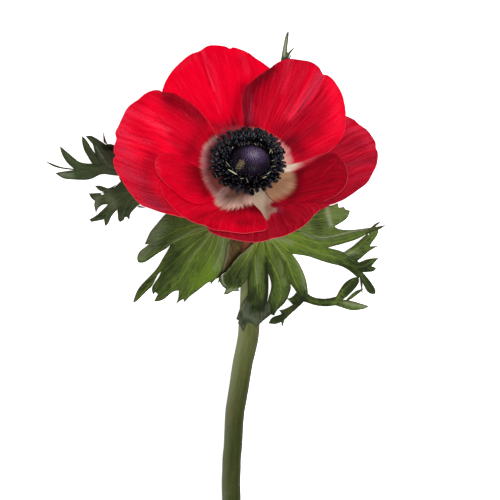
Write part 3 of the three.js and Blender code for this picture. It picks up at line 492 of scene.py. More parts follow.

# greyer, paler stretches of the foot; on the front tepal, painted shade down the shaded right side of its pale tongue
GREY_AND_SHADE = {
    "tepal_left_inner": [([[213, 198], [218, 195], [228, 188]], 3.2, 0.9)],
    "tepal_front": [([[268, 190], [268.6, 198], [268, 204]], 4.4, 0.50), ([[267, 209], [267.4, 213], [268, 220]], 4.4, 0.70), ([[271.6, 210], [277, 211]], 3.4, 0.66)],
    "tepal_left": [([[203.6, 148], [207.4, 143.6], [213, 139.4], [220, 136]], 3.6, 0.75)],
    "tepal_far_right": [([[300, 164], [306, 160]], 4.0, 0.55), ([[307, 162], [320, 154]], 5.0, 1.0)],
    "tepal_front_left": [([[214, 200], [220, 197], [227, 190]], 3.2, 0.5)],
}

# running height of the tepals already laid, over the flower plane
CELL = 0.3
MAP_N = 360
height_map = np.full((MAP_N, MAP_N), -99.0)


def map_index(x, y):
    return np.clip((y / CELL + MAP_N / 2).astype(int), 0, MAP_N - 1), np.clip((x / CELL + MAP_N / 2).astype(int), 0, MAP_N - 1)


def to_flower(P):
    d = P - HEART
    return d @ SIDE, d @ UP, d @ AXIS


def tepal_grid(spec, nu, nv):
    def H(x, y):
        q = np.hypot(x, y) / BOWL_RADIUS
        c = np.maximum(0, q - 0.7)
        return spec["level"] + bowl(x, y) - spec["curl"] * c * c * 4
    foot = math.radians(spec["foot"])
    half = math.asin(FOOT_WIDTH / 2 / FOOT_RADIUS)
    corner = lambda a: np.array([math.cos(a) * FOOT_RADIUS, math.sin(a) * FOOT_RADIUS])
    flat = lambda pts: drawn_on(H, np.array(pts)[:, 0], np.array(pts)[:, 1])
    c1, c2 = corner(foot - half), corner(foot + half)
    A0, R0, B0 = flat(spec["left"]), flat(spec["rim"]), flat(spec["right"])
    dist = lambda p, q: np.linalg.norm(p - q)
    if dist(c1, A0[0]) + dist(c2, B0[-1]) > dist(c2, A0[0]) + dist(c1, B0[-1]):
        c1, c2 = c2, c1
    # one smooth outline through sides and rim, then cut at the two corners
    n_a, n_r = len(A0) + 1, len(R0)
    per = 10
    whole = smooth_line(np.vstack([[c1], A0, R0, B0, [c2]]), per)
    A = whole[:n_a * per + 1]
    R = whole[n_a * per:(n_a + n_r - 1) * per + 1]
    B = whole[(n_a + n_r - 1) * per:][::-1]
    u, v = np.linspace(0, 1, nu), np.linspace(0, 1, nv)
    a0, a1 = math.atan2(c1[1], c1[0]), math.atan2(c2[1], c2[0])
    a1 -= 2 * math.pi * round((a1 - a0) / (2 * math.pi))
    ang = a0 + (a1 - a0) * u
    base = np.stack([np.cos(ang), np.sin(ang)], -1) * FOOT_RADIUS
    Av, Bv, Ru = along(A, v), along(B, v), along(R, u)
    U, V = np.meshgrid(u, v)
    U3, V3 = U[..., None], V[..., None]
    xy = ((1 - U3) * Av[:, None] + U3 * Bv[:, None] + (1 - V3) * base[None] + V3 * Ru[None]
          - ((1 - U3) * (1 - V3) * c1 + U3 * (1 - V3) * c2 + (1 - U3) * V3 * R[0] + U3 * V3 * R[-1]))
    h = H(xy[..., 0], xy[..., 1])
    return U, V, xy, h


def smooth_grid(a, times):
    for _ in range(times):
        b = np.pad(a, 1, mode="edge")
        a = (b[1:-1, 1:-1] * 2 + b[:-2, 1:-1] + b[2:, 1:-1] + b[1:-1, :-2] + b[1:-1, 2:]) / 6
    return a


def edge_distance(P):
    """Distance in mm from each grid point to the free edge (sides and rim)."""
    nj, ni = P.shape[:2]
    across = np.linalg.norm(np.diff(P, axis=1), axis=-1)
    s = np.concatenate([np.zeros((nj, 1)), np.cumsum(across, 1)], 1)
    upward = np.linalg.norm(np.diff(P, axis=0), axis=-1)
    t = np.concatenate([np.cumsum(upward[::-1], 0)[::-1], np.zeros((1, ni))], 0)
    return np.minimum(np.minimum(s, s[:, -1:] - s), t)


def tepal(name, spec, nu=150, nv=100):
    U, V, xy, h = tepal_grid(spec, nu, nv)
    P = from_flower(xy[..., 0], xy[..., 1], h)
    relief = np.zeros_like(U)
    for u0, su, v0, sv, amp in spec["bumps"]:
        relief += amp * np.exp(-((U - u0) / su) ** 2 - ((V - v0) / sv) ** 2)
    s = spec["seed"]
    # folds that start in the blade and grow towards the rim, and fine pleats along the veins
    drift = 0.02 * wave(s + 5, V, 2, 2)
    relief += 0.28 * wave(s, U + drift, 2, 7) * step(V, 0.25, 0.9)
    relief += 0.09 * wave(s + 1, U + drift, 2, 22) * step(V, 0.1, 0.5)
    relief += 0.3 * wave(s + 2, U, 2, 10) * step(V, 0.8, 1.0)
    relief += 0.025 * wave(s + 3, U + drift, 1, 60)
    relief *= step(np.minimum(U, 1 - U), -0.02, 0.12) * 0.7 + 0.3
    P = P + relief[..., None] * np.array([0, 0, 1.0])
    x, y, h = to_flower(P)
    # rest on the tepals already laid
    j, i = map_index(x, y)
    under = height_map[j, i]
    need = np.maximum(0, np.where(under > -50, under + 0.38 - h, 0))
    if need.max() > 0:
        lift = need.copy()
        for _ in range(6):
            lift = np.maximum(smooth_grid(lift, 6), need)
        lift = smooth_grid(lift, 4)
        h = h + lift
    reach = edge_distance(from_flower(x, y, h))
    slack = np.where(under > -50, h - under - 0.24, 0)
    slack = smooth_grid(np.maximum(0, slack), 8)
    h = h - np.minimum(slack, 1.8) * 0.82 * (1 - step(reach, 0, 4.5)) * step(np.hypot(x, y), 9, 14)
    h = np.maximum(h, np.where(under > -50, under + 0.22, -99))
    P = from_flower(x, y, h)
    # write this tepal into the map, from a denser sampling of the grid
    for fu in range(3):
        for fv in range(3):
            wu, wv = fu / 3, fv / 3
            def dense(a):
                return ((a[:-1, :-1] * (1 - wu) + a[:-1, 1:] * wu) * (1 - wv) + (a[1:, :-1] * (1 - wu) + a[1:, 1:] * wu) * wv).ravel()
            jj, ii = map_index(dense(x), dense(y))
            np.maximum.at(height_map, (jj, ii), dense(h))
    edge = edge_distance(P)
    thickness = 0.16 + 0.16 * step(edge, 0, 3.0) + 0.25 * step(-V, -0.25, 0.0)
    verts, faces, grid, side = closed_sheet(P, thickness)
    rad = np.hypot(x, y).ravel()[grid]
    uu, vv, ee = U.ravel()[grid], V.ravel()[grid], edge.ravel()[grid]
    k = 1 - (P[..., 2] - LEVEL) / VIEW_HEIGHT
    px, py = P[..., 0] / k / UNIT + 250, 250 - P[..., 1] / k / UNIT
    # painted shade and painted highlight over the blade, from its base value and its marks
    tone = np.full_like(px, spec["tone"])
    for line, width, value in spec["marks"]:
        tone += value * stroke(px, py, line, width)
    foot = region(px, py, ZONES[name])
    # painted pink sheen
    blush = np.full_like(px, spec["blush"])
    for line, width, value in SHEEN_AND_BLUSH.get(name, []):
        blush += value * stroke(px, py, line, width)
    folds = np.full_like(px, FOLDS[name][0])
    for line, width, value in FOLDS[name][1]:
        folds += value * stroke(px, py, line, width)
    bare = np.zeros_like(px)
    for line, width in BARE.get(name, []):
        bare = np.maximum(bare, stroke(px, py, line, width))
    seam = np.clip(1 - 1.6 * bare, 0, 1)
    side = np.where(side == 0.5, 0.5 * seam.ravel()[grid], side)
    # greyer stretches of the foot, and painted shade on the front tepal's tongue
    ash = np.zeros_like(px)
    for line, width, value in GREY_AND_SHADE.get(name, []):
        ash += value * stroke(px, py, line, width)
    o = mesh_object(name + "_petal", verts, faces,
                    attributes={"rad": rad, "under": side, "edge": ee, "pale": foot.ravel()[grid], "tone": tone.ravel()[grid], "blush": blush.ravel()[grid],
                                "folds": folds.ravel()[grid], "ash": ash.ravel()[grid], "seam": seam.ravel()[grid]},
                    uvs={"blade": np.stack([uu + spec["seed"] * 1.37 + 0.018 * wave(s + 8, vv, 2, 3) + 0.010 * wave(s + 9, (uu * 0.6 + vv * 0.7) % 1, 2, 6), vv], -1)})
    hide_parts(name)
    return o


# colours of those stretches; the front tepal's dark one is painted shade
GREY_AND_SHADE_COLOURS = {"tepal_front": (0.19, 0.075, 0.055), "tepal_left": (0.40, 0.20, 0.185), "tepal_far_right": (0.50, 0.06, 0.065)}


def tepal_material(name, streaks, foot, foot_light, near, depth, jagged, soft, shaded_radius, grey_and_shade_colour):
    """streaks: contrast of the vein streaks; foot, foot_light, near: colours of the pale foot
    and of its inner end, reached at a depth in mm, the inner end darker as painted shade under the stamens on several
    tepals; jagged, soft: how torn and how blurred its border is; then the radius of the painted near-black shade under
    the stamens, and the colour of the foot's greyer stretches, which on the front tepal is painted shade."""
    m = Nodes(name)
    uv = m.uv("blade")
    streak = m.noise(m.mapped(uv, (38, 1.5, 1)), 1.0, 5.0, 0.62)
    fine = m.noise(m.mapped(uv, (62, 4.0, 1), (3.1, 0, 0)), 1.0, 3.0, 0.65)
    broad = m.noise(m.mapped(uv, (5, 2.4, 1), (0, 1.7, 0)), 1.0, 3.0, 0.5)
    cells = m.noise(m.mapped(uv, (115, 75, 1)), 1.0, 2.0, 0.7)
    # painted shade turns the red to dark crimson and painted highlight lightens it, from the blade's marks, with random
    # broad tone, vein streaks and cells
    light = m.math("ADD", m.attr("tone"), m.math("MULTIPLY", m.math("SUBTRACT", broad, 0.5), 0.30))
    light = m.math("ADD", light, m.math("MULTIPLY", m.math("MULTIPLY", m.math("SUBTRACT", streak, 0.5), m.attr("folds")), streaks * 1.7))
    light = m.math("ADD", light, m.math("MULTIPLY", m.math("MULTIPLY", m.math("SUBTRACT", fine, 0.5), m.math("ADD", m.attr("folds"), 0.25)), streaks * 0.8 + 0.12))
    light = m.math("ADD", light, m.math("MULTIPLY", m.math("SUBTRACT", cells, 0.5), 0.40))
    red = m.mix(m.ramp(light, 0.0, -1.0, smooth=False), (0.645, 0.0003, 0.015), (0.145, 0.0001, 0.0035))
    red = m.mix(m.ramp(light, 0.0, 0.6), red, (0.74, 0.007, 0.032))
    # painted pink sheen in streaks, with fine pale hairs
    blush = m.math("MULTIPLY", m.attr("blush"), m.ramp(m.math("ADD", streak, m.math("MULTIPLY", m.math("SUBTRACT", cells, 0.5), 0.5)), 0.38, 0.66, 0.15, 1.5))
    hairs = m.math("MULTIPLY", m.ramp(fine, 0.50, 0.70), m.ramp(cells, 0.35, 0.65, 0.4, 1.0))
    blush = m.math("ADD", blush, m.math("MULTIPLY", hairs, 0.45))
    red = m.mix(blush, red, (0.020, 0.013, 0.026), "ADD")
    # pale foot with a torn, streaky border
    jag = m.noise(m.mapped(uv, (60, 1.6, 1), (9.3, 0, 0)), 1.0, 5.0, 0.75)
    border = m.math("ADD", m.attr("pale"), m.math("MULTIPLY", m.math("SUBTRACT", jag, 0.5), jagged))
    in_foot = m.ramp(border, -soft, soft)
    cream = m.mix(m.ramp(m.noise(m.mapped(uv, (13, 1.2, 1), (2.2, 0, 0)), 1.0, 4.0, 0.6), 0.3, 0.72), foot, foot_light)
    # the foot turns darker towards its inner end as painted shade under the stamens on the top, left, left inner and
    # front left tepals; on the others the inner end is the foot's own paler colour
    cream = m.mix(m.ramp(m.math("ADD", m.attr("pale"), m.math("MULTIPLY", m.math("SUBTRACT", jag, 0.5), 2.4)), 0.4, depth, 0.0, 0.95, False), cream, near)
    cream = m.mix(m.ramp(streak, 0.50, 0.75, 0.0, 0.30), cream, near)
    # greyer stretches of the foot, and painted shade on the front tepal's tongue
    cream = m.mix(m.attr("ash"), cream, grey_and_shade_colour)
    red = m.mix(in_foot, red, cream)
    # painted shade: near-black under the stamens, inside the given radius
    red = m.mix(m.ramp(m.attr("rad"), shaded_radius - 0.6, shaded_radius + 0.6, 1.0, 0.0), red, (0.012, 0.005, 0.007))
    # the outer face is duller and pinker
    outer = m.mix(m.ramp(streak, 0.3, 0.7), (0.40, 0.02, 0.045), (0.55, 0.06, 0.09))
    outer = m.mix(m.ramp(m.attr("rad"), 10.0, 22.0, 0.85, 0.0), outer, (0.50, 0.36, 0.28))
    color = m.mix(m.attr("under"), red, outer)
    # thin pale line along the free edge
    rim = m.math("MULTIPLY", m.ramp(m.attr("edge"), 0.03, 0.22, 0.20, 0.0), m.attr("seam"))
    color = m.mix(rim, color, (0.62, 0.14, 0.17))
    height = m.math("ADD", m.math("MULTIPLY", streak, 0.9), m.math("MULTIPLY", fine, 0.5))
    height = m.math("ADD", height, m.math("MULTIPLY", cells, 0.30))
    normal = m.bump(height, 0.5, 0.00016)
    rough = m.ramp(broad, 0.2, 0.8, 0.52, 0.66, False)
    return m.surface(color, rough, spec=0.006, sheen=0.008, normal=normal, sheen_tint=(1.0, 0.30, 0.38), sheen_rough=0.45)


FEET = {   # streaks, foot, lighter foot, inner end (painted shade on the darker feet), depth, jagged, soft, radius of the painted shade under the stamens
    "tepal_top": (0.34, (0.40, 0.022, 0.036), (0.44, 0.045, 0.060), (0.26, 0.012, 0.020), 2.2, 2.2, 1.1, 9.8),
    "tepal_top_right": (0.60, (0.43, 0.075, 0.085), (0.47, 0.17, 0.155), (0.52, 0.27, 0.215), 2.0, 2.6, 0.6, 9.6),
    "tepal_left": (0.30, (0.27, 0.066, 0.070), (0.33, 0.120, 0.118), (0.175, 0.042, 0.042), 2.6, 3.6, 0.7, 9.0),
    "tepal_left_inner": (0.22, (0.22, 0.060, 0.060), (0.32, 0.135, 0.125), (0.098, 0.023, 0.020), 2.0, 3.6, 0.7, 8.8),
    "tepal_front_left": (0.38, (0.42, 0.225, 0.180), (0.58, 0.37, 0.31), (0.085, 0.033, 0.021), 3.6, 6.0, 0.6, 7.2),
    "tepal_front": (0.34, (0.40, 0.28, 0.20), (0.48, 0.36, 0.27), (0.42, 0.31, 0.22), 3.0, 1.4, 0.6, 6.4),
    "tepal_right_inner": (0.24, (0.285, 0.145, 0.078), (0.37, 0.220, 0.130), (0.27, 0.135, 0.074), 3.0, 2.4, 1.3, 7.8),
    "tepal_far_right": (0.46, (0.56, 0.40, 0.32), (0.64, 0.51, 0.42), (0.62, 0.48, 0.37), 2.5, 3.0, 1.0, 8.6),
}

petals = {}
for key, spec in sorted(TEPALS.items(), key=lambda kv: kv[1]["level"]):
    petals[key] = tepal(key, spec)
    petals[key].data.materials.append(tepal_material(key + "_red", *FEET[key], GREY_AND_SHADE_COLOURS.get(key, (0.30, 0.165, 0.150))))

# ---------------------------------------------------------------- leaves
def height_field(points, spread):
    pts = np.array(points, float)

    def z(px, py):
        d = (np.asarray(px)[..., None] - pts[:, 0]) ** 2 + (np.asarray(py)[..., None] - pts[:, 1]) ** 2
        w = np.exp(-d / (2 * spread * spread)) + 1e-6 / (1 + d)
        return (w * pts[:, 2]).sum(-1) / w.sum(-1)
    return z


def soften(outline, rounds=2, sharp=50.0):
    """Corner cutting that leaves tips and notches sharp."""
    p = np.array(outline, float)
    for _ in range(rounds):
        a, c = np.roll(p, 1, 0), np.roll(p, -1, 0)
        u, v = p - a, c - p
        cosv = (u * v).sum(1) / (np.linalg.norm(u, axis=1) * np.linalg.norm(v, axis=1) + 1e-9)
        keep = np.degrees(np.arccos(np.clip(cosv, -1, 1))) > sharp
        out = []
        for i in range(len(p)):
            if keep[i]:
                out.append(p[i])
            else:
                out.append(p[i] * 0.75 + a[i] * 0.25)
                out.append(p[i] * 0.75 + c[i] * 0.25)
        p = np.array(out)
    return p


def resample(line, spacing, closed):
    p = np.array(line, float)
    if closed:
        p = np.vstack([p, p[:1]])
    out = []
    for a, b in zip(p[:-1], p[1:]):
        n = max(1, int(math.ceil(np.linalg.norm(b - a) / spacing)))
        for k in range(n):
            out.append(a + (b - a) * k / n)
    if not closed:
        out.append(p[-1])
    out = np.array(out)
    keep = [0]
    for i in range(1, len(out)):
        if np.linalg.norm(out[i] - out[keep[-1]]) > spacing * 0.25:
            keep.append(i)
    return out[keep]


def inside(points, polygon):
    x, y = points[:, 0], points[:, 1]
    hit = np.zeros(len(points), bool)
    n = len(polygon)
    for i in range(n):
        x0, y0 = polygon[i]
        x1, y1 = polygon[(i + 1) % n]
        if y0 == y1:
            continue
        crossing = ((y0 > y) != (y1 > y)) & (x < (x1 - x0) * (y - y0) / (y1 - y0) + x0)
        hit ^= crossing
    return hit


def distance_to(points, line, closed=False):
    """Distance to a polyline, signed side and share of its length."""
    p = np.array(line, float)
    if closed:
        p = np.vstack([p, p[:1]])
    best = np.full(len(points), 1e9)
    side = np.zeros(len(points))
    share = np.zeros(len(points))
    seg = np.linalg.norm(np.diff(p, axis=0), axis=1)
    run = np.concatenate([[0], np.cumsum(seg)])
    for i in range(len(p) - 1):
        a, d = p[i], p[i + 1] - p[i]
        L = (d * d).sum() + 1e-12
        w = points - a
        t = np.clip((w @ d) / L, 0, 1)
        q = w - t[:, None] * d
        dd = np.linalg.norm(q, axis=1)
        m = dd < best
        best[m] = dd[m]
        side[m] = np.sign(d[0] * w[m, 1] - d[1] * w[m, 0])
        share[m] = (run[i] + t[m] * seg[i]) / run[-1]
    return best, side, share


def leaf_patch(spec, height, veins, spots, spots_lines, hub, step_px=1.25):
    """One lobe: 3D points, triangles and attributes of a thin closed blade."""
    border = resample(soften(spec["outline"], spec.get("soften", 2)), 1.1, True)
    holes = [resample(soften(h, 1), 1.1, True) for h in spec.get("holes", [])]
    lines = [resample(smooth_line(v, 6), 1.1, False) for v in veins]
    lo, hi = border.min(0) - 1, border.max(0) + 1
    xs = np.arange(lo[0], hi[0], step_px)
    ys = np.arange(lo[1], hi[1], step_px * 0.866)
    grid = np.array([[x + (0.5 * step_px if j % 2 else 0), y] for j, y in enumerate(ys) for x in xs])

    def within(q):
        m = inside(q, border)
        for h in holes:
            m &= ~inside(q, h)
        return m
    grid = grid[within(grid)]
    edge = distance_to(grid, border, True)[0]
    for h in holes:
        edge = np.minimum(edge, distance_to(grid, h, True)[0])
    grid = grid[edge > step_px * 0.55]
    mine = []
    for line in lines:
        m = within(line)
        m &= distance_to(line, border, True)[0] > 0.5
        mine.append(line[m])
    vein_pts = np.vstack(mine) if mine and sum(len(a) for a in mine) else np.zeros((0, 2))
    if len(vein_pts):
        kept = [0]
        for i in range(1, len(vein_pts)):
            if np.linalg.norm(vein_pts[kept] - vein_pts[i], axis=1).min() > 0.6:
                kept.append(i)
        vein_pts = vein_pts[kept]
        d = np.sqrt(((grid[:, None] - vein_pts[None]) ** 2).sum(-1)).min(1)
        grid = grid[d > 0.62]
    pts = np.vstack([border] + holes + [vein_pts, grid])
    edges, start = [], 0
    for ring in [border] + holes:
        n = len(ring)
        edges += [(start + i, start + (i + 1) % n) for i in range(n)]
        start += n
    out = delaunay_2d_cdt([Vector(p) for p in pts.tolist()], edges, [], 0, 1e-5)
    q = np.array([[v[0], v[1]] for v in out[0]])
    tri = np.array([f for f in out[2] if len(f) == 3])
    tri = tri[within(q[tri].mean(1))]
    used = np.unique(tri)
    remap = -np.ones(len(q), int)
    remap[used] = np.arange(len(used))
    q, tri = q[used], remap[tri]
    a, b, c = q[tri[:, 0]], q[tri[:, 1]], q[tri[:, 2]]
    turn = (b[:, 0] - a[:, 0]) * (c[:, 1] - a[:, 1]) - (b[:, 1] - a[:, 1]) * (c[:, 0] - a[:, 0])
    tri[turn > 0] = tri[turn > 0][:, ::-1]          # drawing y runs down, so this faces up
    edge = distance_to(q, border, True)[0]
    for h in holes:
        edge = np.minimum(edge, distance_to(q, h, True)[0])
    edge *= UNIT
    vd = np.full(len(q), 9.0)
    vs = np.zeros(len(q))
    for line in lines:
        d, s, t = distance_to(q, line)
        w = d * UNIT / (1.25 - 0.75 * t)
        m = w < vd
        vd[m], vs[m] = w[m], t[m]
    hd = q - np.array(hub)
    ang, rad = np.arctan2(hd[:, 1], hd[:, 0]), np.hypot(hd[:, 0], hd[:, 1]) * UNIT
    # darker and lighter spots: the leaves' own tone with painted shade and painted light
    tone = np.zeros(len(q))
    for x, y, r, value in spots:
        tone += value * np.exp(-((q[:, 0] - x) ** 2 + (q[:, 1] - y) ** 2) / (2 * r * r))
    # marks of painted highlight and painted shade, with paler veins and margins
    light = np.zeros(len(q))
    for line, wide, value in spots_lines:
        light += value * stroke(q[:, 0], q[:, 1], line, wide)
    droop = spec.get("droop", 0.8)
    width = spec.get("margin", 2.2)
    z = height(q[:, 0], q[:, 1]) + spec.get("lift", 0.0)
    z -= droop * (1 - step(edge, 0, width))
    z -= 0.22 * np.exp(-(vd / 0.32) ** 2)
    z += 0.10 * wave(spec.get("seed", 5), (ang * 2.5) % 50, 2, 9) * step(edge, 0, 1.5)
    z += 0.05 * np.sin(ang * 95 + 3 * wave(9, (rad / 40) % 1, 2, 4)) * step(edge, 0, 0.8)
    for x, y, r, dz in spec.get("lifts", []):
        z += dz * np.exp(-((q[:, 0] - x) ** 2 + (q[:, 1] - y) ** 2) / (2 * r * r))
    t = spec.get("thick", 0.3)
    z = np.maximum(z, t / 2 + 0.08)
    P = plan(q[:, 0], q[:, 1], z)
    fn = np.cross(P[tri[:, 1]] - P[tri[:, 0]], P[tri[:, 2]] - P[tri[:, 0]])
    vn = np.zeros_like(P)
    for k in range(3):
        np.add.at(vn, tri[:, k], fn)
    vn /= np.linalg.norm(vn, axis=1, keepdims=True) + 1e-12
    thick = t * (0.55 + 0.45 * step(edge, 0, 0.8))[:, None]
    top, low = P + vn * thick / 2, P - vn * thick / 2
    n = len(P)
    e = np.vstack([tri[:, [0, 1]], tri[:, [1, 2]], tri[:, [2, 0]]])
    key = np.sort(e, 1)
    _, inv, cnt = np.unique(key, axis=0, return_inverse=True, return_counts=True)
    rim = e[cnt[inv.ravel()] == 1]
    faces = np.vstack([tri, tri[:, ::-1] + n,
                       np.stack([rim[:, 1], rim[:, 0], rim[:, 0] + n], -1),
                       np.stack([rim[:, 1], rim[:, 0] + n, rim[:, 1] + n], -1)])
    two = lambda v: np.concatenate([v, v])
    flag = spec.get("under", 0.0)
    attrs = {"vein": two(vd), "edge": two(edge), "tone": two(tone), "hub": two(rad), "light": two(light),
             "under": np.concatenate([np.full(n, flag), np.full(n, 1.0)]),
             "brown": np.full(2 * n, spec.get("brown", 0.0))}
    return np.vstack([top, low]), faces, attrs, two(np.stack([ang, rad], -1))


def leaf(node, patches, height, veins, spots, marks, hub):
    V, F, A, U, base = [], [], {}, [], 0
    for p in patches:
        v, f, a, uv = leaf_patch(p, height, veins, spots, marks, hub)
        V.append(v); F.append(f + base); U.append(uv)
        for k, x in a.items():
            A.setdefault(k, []).append(x)
        base += len(v)
    o = mesh_object(node + "_leaf", np.vstack(V), np.vstack(F),
                    attributes={k: np.concatenate(x) for k, x in A.items()}, uvs={"fan": np.vstack(U)})
    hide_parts(node)
    return o


LEFT_Z = height_field([
    [239, 236, 4.6], [236, 246, 5.0], [230, 262, 4.0], [238, 255, 4.4], [220, 225, 6.2], [200, 220, 7.4], [180, 218, 7.0],
    [165, 222, 5.4], [150, 240, 2.6], [140, 255, 0.8], [200, 245, 7.2], [180, 255, 6.2], [160, 275, 3.6], [135, 300, 0.5],
    [150, 292, 1.6], [170, 290, 2.4], [184, 300, 1.0], [200, 288, 2.8], [212, 270, 4.4], [225, 272, 3.2], [195, 265, 6.2],
    [176, 304, 0.6], [158, 300, 0.7]], 13)
LEFT_PATCHES = [
    # dark brown over the curled margin by the stem: partly the bract's own brown tint, partly painted shade in the
    # hollow of the curl
    dict(outline=[[226, 240], [232, 238], [243, 240], [246, 246], [244.5, 252], [240, 258], [233.5, 264.5], [227, 270.5], [222, 275], [217, 278.8], [214, 279],
                  [219, 270], [223, 260], [225, 250]], lift=-0.5, droop=0.3, brown=1.0, seed=3),
    dict(outline=[[206, 278], [210, 281], [211, 284.5], [213.3, 281.5], [216, 279], [212, 275]], lift=-0.6, droop=0.2, soften=0),
    dict(outline=[
        [238, 234], [234, 226], [224, 214], [208, 208], [190, 206], [175, 208], [165, 214], [160, 220], [155, 226], [150, 232], [147, 239], [144.5, 244.6], [149, 244], [145.4, 247], [141, 250],
        [138, 254], [137, 259], [138.5, 262.6], [142, 263], [146, 262], [153, 257], [160, 252], [167, 248], [171, 244], [168, 250], [163, 258], [158, 267], [153, 273],
        [147, 279], [140, 286], [136, 293], [133, 302.5], [136, 302], [141, 297], [147, 291], [152, 286.5], [155.5, 279], [158.5, 274], [161, 271.5],
        [159, 277], [155, 282], [152, 287], [152, 291], [153.2, 294.8], [155.2, 292.2], [158, 294], [154, 301.5], [158, 301.5], [163, 300], [167, 297], [171, 293], [175, 291],
        [179, 290.5], [178.5, 295], [178.2, 299], [175.3, 305.2], [178.4, 302], [183.4, 299], [184.5, 302.6], [188, 298], [192, 295], [200, 289], [207, 283],
        [211, 281.5], [217, 278.5], [221, 273], [224, 264], [226, 254], [227, 246], [230, 240]], lift=0.3, droop=0.55, margin=2.4, seed=5,
        lifts=[(205, 262, 9, 0.7), (178, 240, 8, 0.5), (170, 246, 4, -0.5), (166, 262, 5, -0.5)]),
]
LEFT_VEINS = [
    [[212, 228], [200, 232], [186, 237], [172, 243], [160, 250], [147, 257]],
    [[212, 226], [195, 225], [182, 229], [170, 234], [158, 240]],
    [[212, 230], [197.7, 241], [186, 251], [178, 258.5], [169, 267], [160, 275], [147, 288], [136, 300]],
    [[213, 231], [202.7, 245], [195, 255], [188, 266], [181.5, 277], [172, 287], [158, 299]],
    [[215, 232], [210, 247], [201, 260], [191, 273], [184.5, 285], [180, 296]],
    [[219, 233], [215, 249], [207, 263], [199, 276], [190, 291], [186, 299]],
    [[224, 235], [221.5, 250], [216, 263], [209, 273], [203, 282]],
]
# spots (x, y, radius, amount): the leaf's own tone with painted shade and painted light
LEFT_SPOTS = [(207, 270, 11, 0.9), (196, 240, 14, 0.25), (176, 262, 8, 0.0), (150, 246, 13, -0.4), (166, 232, 12, -0.35), (150, 285, 10, -0.5), (172, 292, 8, -0.2), (200, 286, 8, 0.5), (170, 247, 6, -0.4)]

# soft marks: line, width, lighter (+) or darker (-); painted highlights along folds and painted shade in furrows and
# under lobes, with paler veins and margins of the leaf's own colour
LEFT_MARKS = [
    ([[202, 262], [197, 272]], 8, -0.16), ([[150, 244], [150, 256]], 6, -0.10), ([[168, 262], [174, 268]], 6, -0.18),
    ([[212, 226], [196, 230], [180, 238], [166, 246]], 1.0, 0.30), ([[214, 230], [200, 246], [188, 262]], 0.8, 0.25), ([[210, 230], [192, 242], [174, 256]], 1.6, -0.30), ([[186, 250], [172, 266], [158, 284]], 2.0, -0.20), ([[205, 262], [196, 282]], 1.2, -0.20), ([[150, 262], [160, 254], [170, 246]], 1.6, -0.4), ([[139, 262], [147, 261], [154, 256]], 1.4, -0.3),
    ([[204, 236], [190, 252], [176, 272], [160, 286]], 2.4, -0.40), ([[196, 262], [184, 286]], 2.0, -0.25), ([[178, 254], [168, 268], [160, 277]], 6, -0.55), ([[206, 250], [198, 268]], 3, -0.25),
    ([[229, 240], [227.5, 255], [223, 271]], 1.2, 0.35), ([[212, 232], [196, 243], [180, 257], [166, 270]], 1.0, 0.22), ([[160, 225], [150, 244], [143, 257]], 9, 0.25), ([[222, 238], [222, 254], [216, 268]], 4, 0.20),
    ([[170, 247], [150, 258]], 2.5, -0.25), ([[186, 226], [170, 236]], 1.2, -0.3), ([[148, 282], [137, 299]], 2.5, -0.25), ([[168, 288], [156, 300]], 3, -0.35), ([[216, 277], [227, 270]], 1.4, -0.2)]

RIGHT_Z = height_field([
    [262, 236, 7.6], [252, 240, 7.5], [250, 250, 7.4], [250, 262, 7.35], [250, 275, 7.3], [250, 290, 7.2], [248, 305, 7.1], [246, 320, 7.2], [252, 325, 7.3], [256, 318, 7.2], [262, 250, 7.4], [264, 272, 7.2],
    [262, 300, 7.0], [258, 310, 6.9], [262, 320, 6.7], [236, 262, 6.9], [228, 275, 6.0], [226, 292, 5.6], [238, 290, 6.9], [240, 310, 6.9], [236, 280, 6.9], [276, 250, 7.2], [275, 290, 6.4],
    [276, 308, 5.0], [286, 290, 5.2], [284, 262, 7.2], [300, 262, 7.2], [307, 290, 4.6], [296, 300, 2.8], [286, 308, 1.6], [272, 322, 1.2],
    [284, 322, 0.8], [322, 302, 2.0], [340, 300, 1.4], [368, 306, 0.5], [352, 282, 1.2], [358, 276, 2.2], [374, 292, 0.5],
    [320, 250, 6.4], [345, 258, 4.6], [366, 266, 2.4], [378, 260, 0.8], [376, 268, 0.8], [330, 240, 6.4], [350, 234, 4.6], [372, 228, 1.8],
    [388, 223, 0.6], [365, 246, 2.6], [379, 246, 0.8], [320, 220, 6.6], [338, 212, 5.6], [350, 211, 4.8], [300, 236, 7.4], [280, 230, 7.2]], 12)
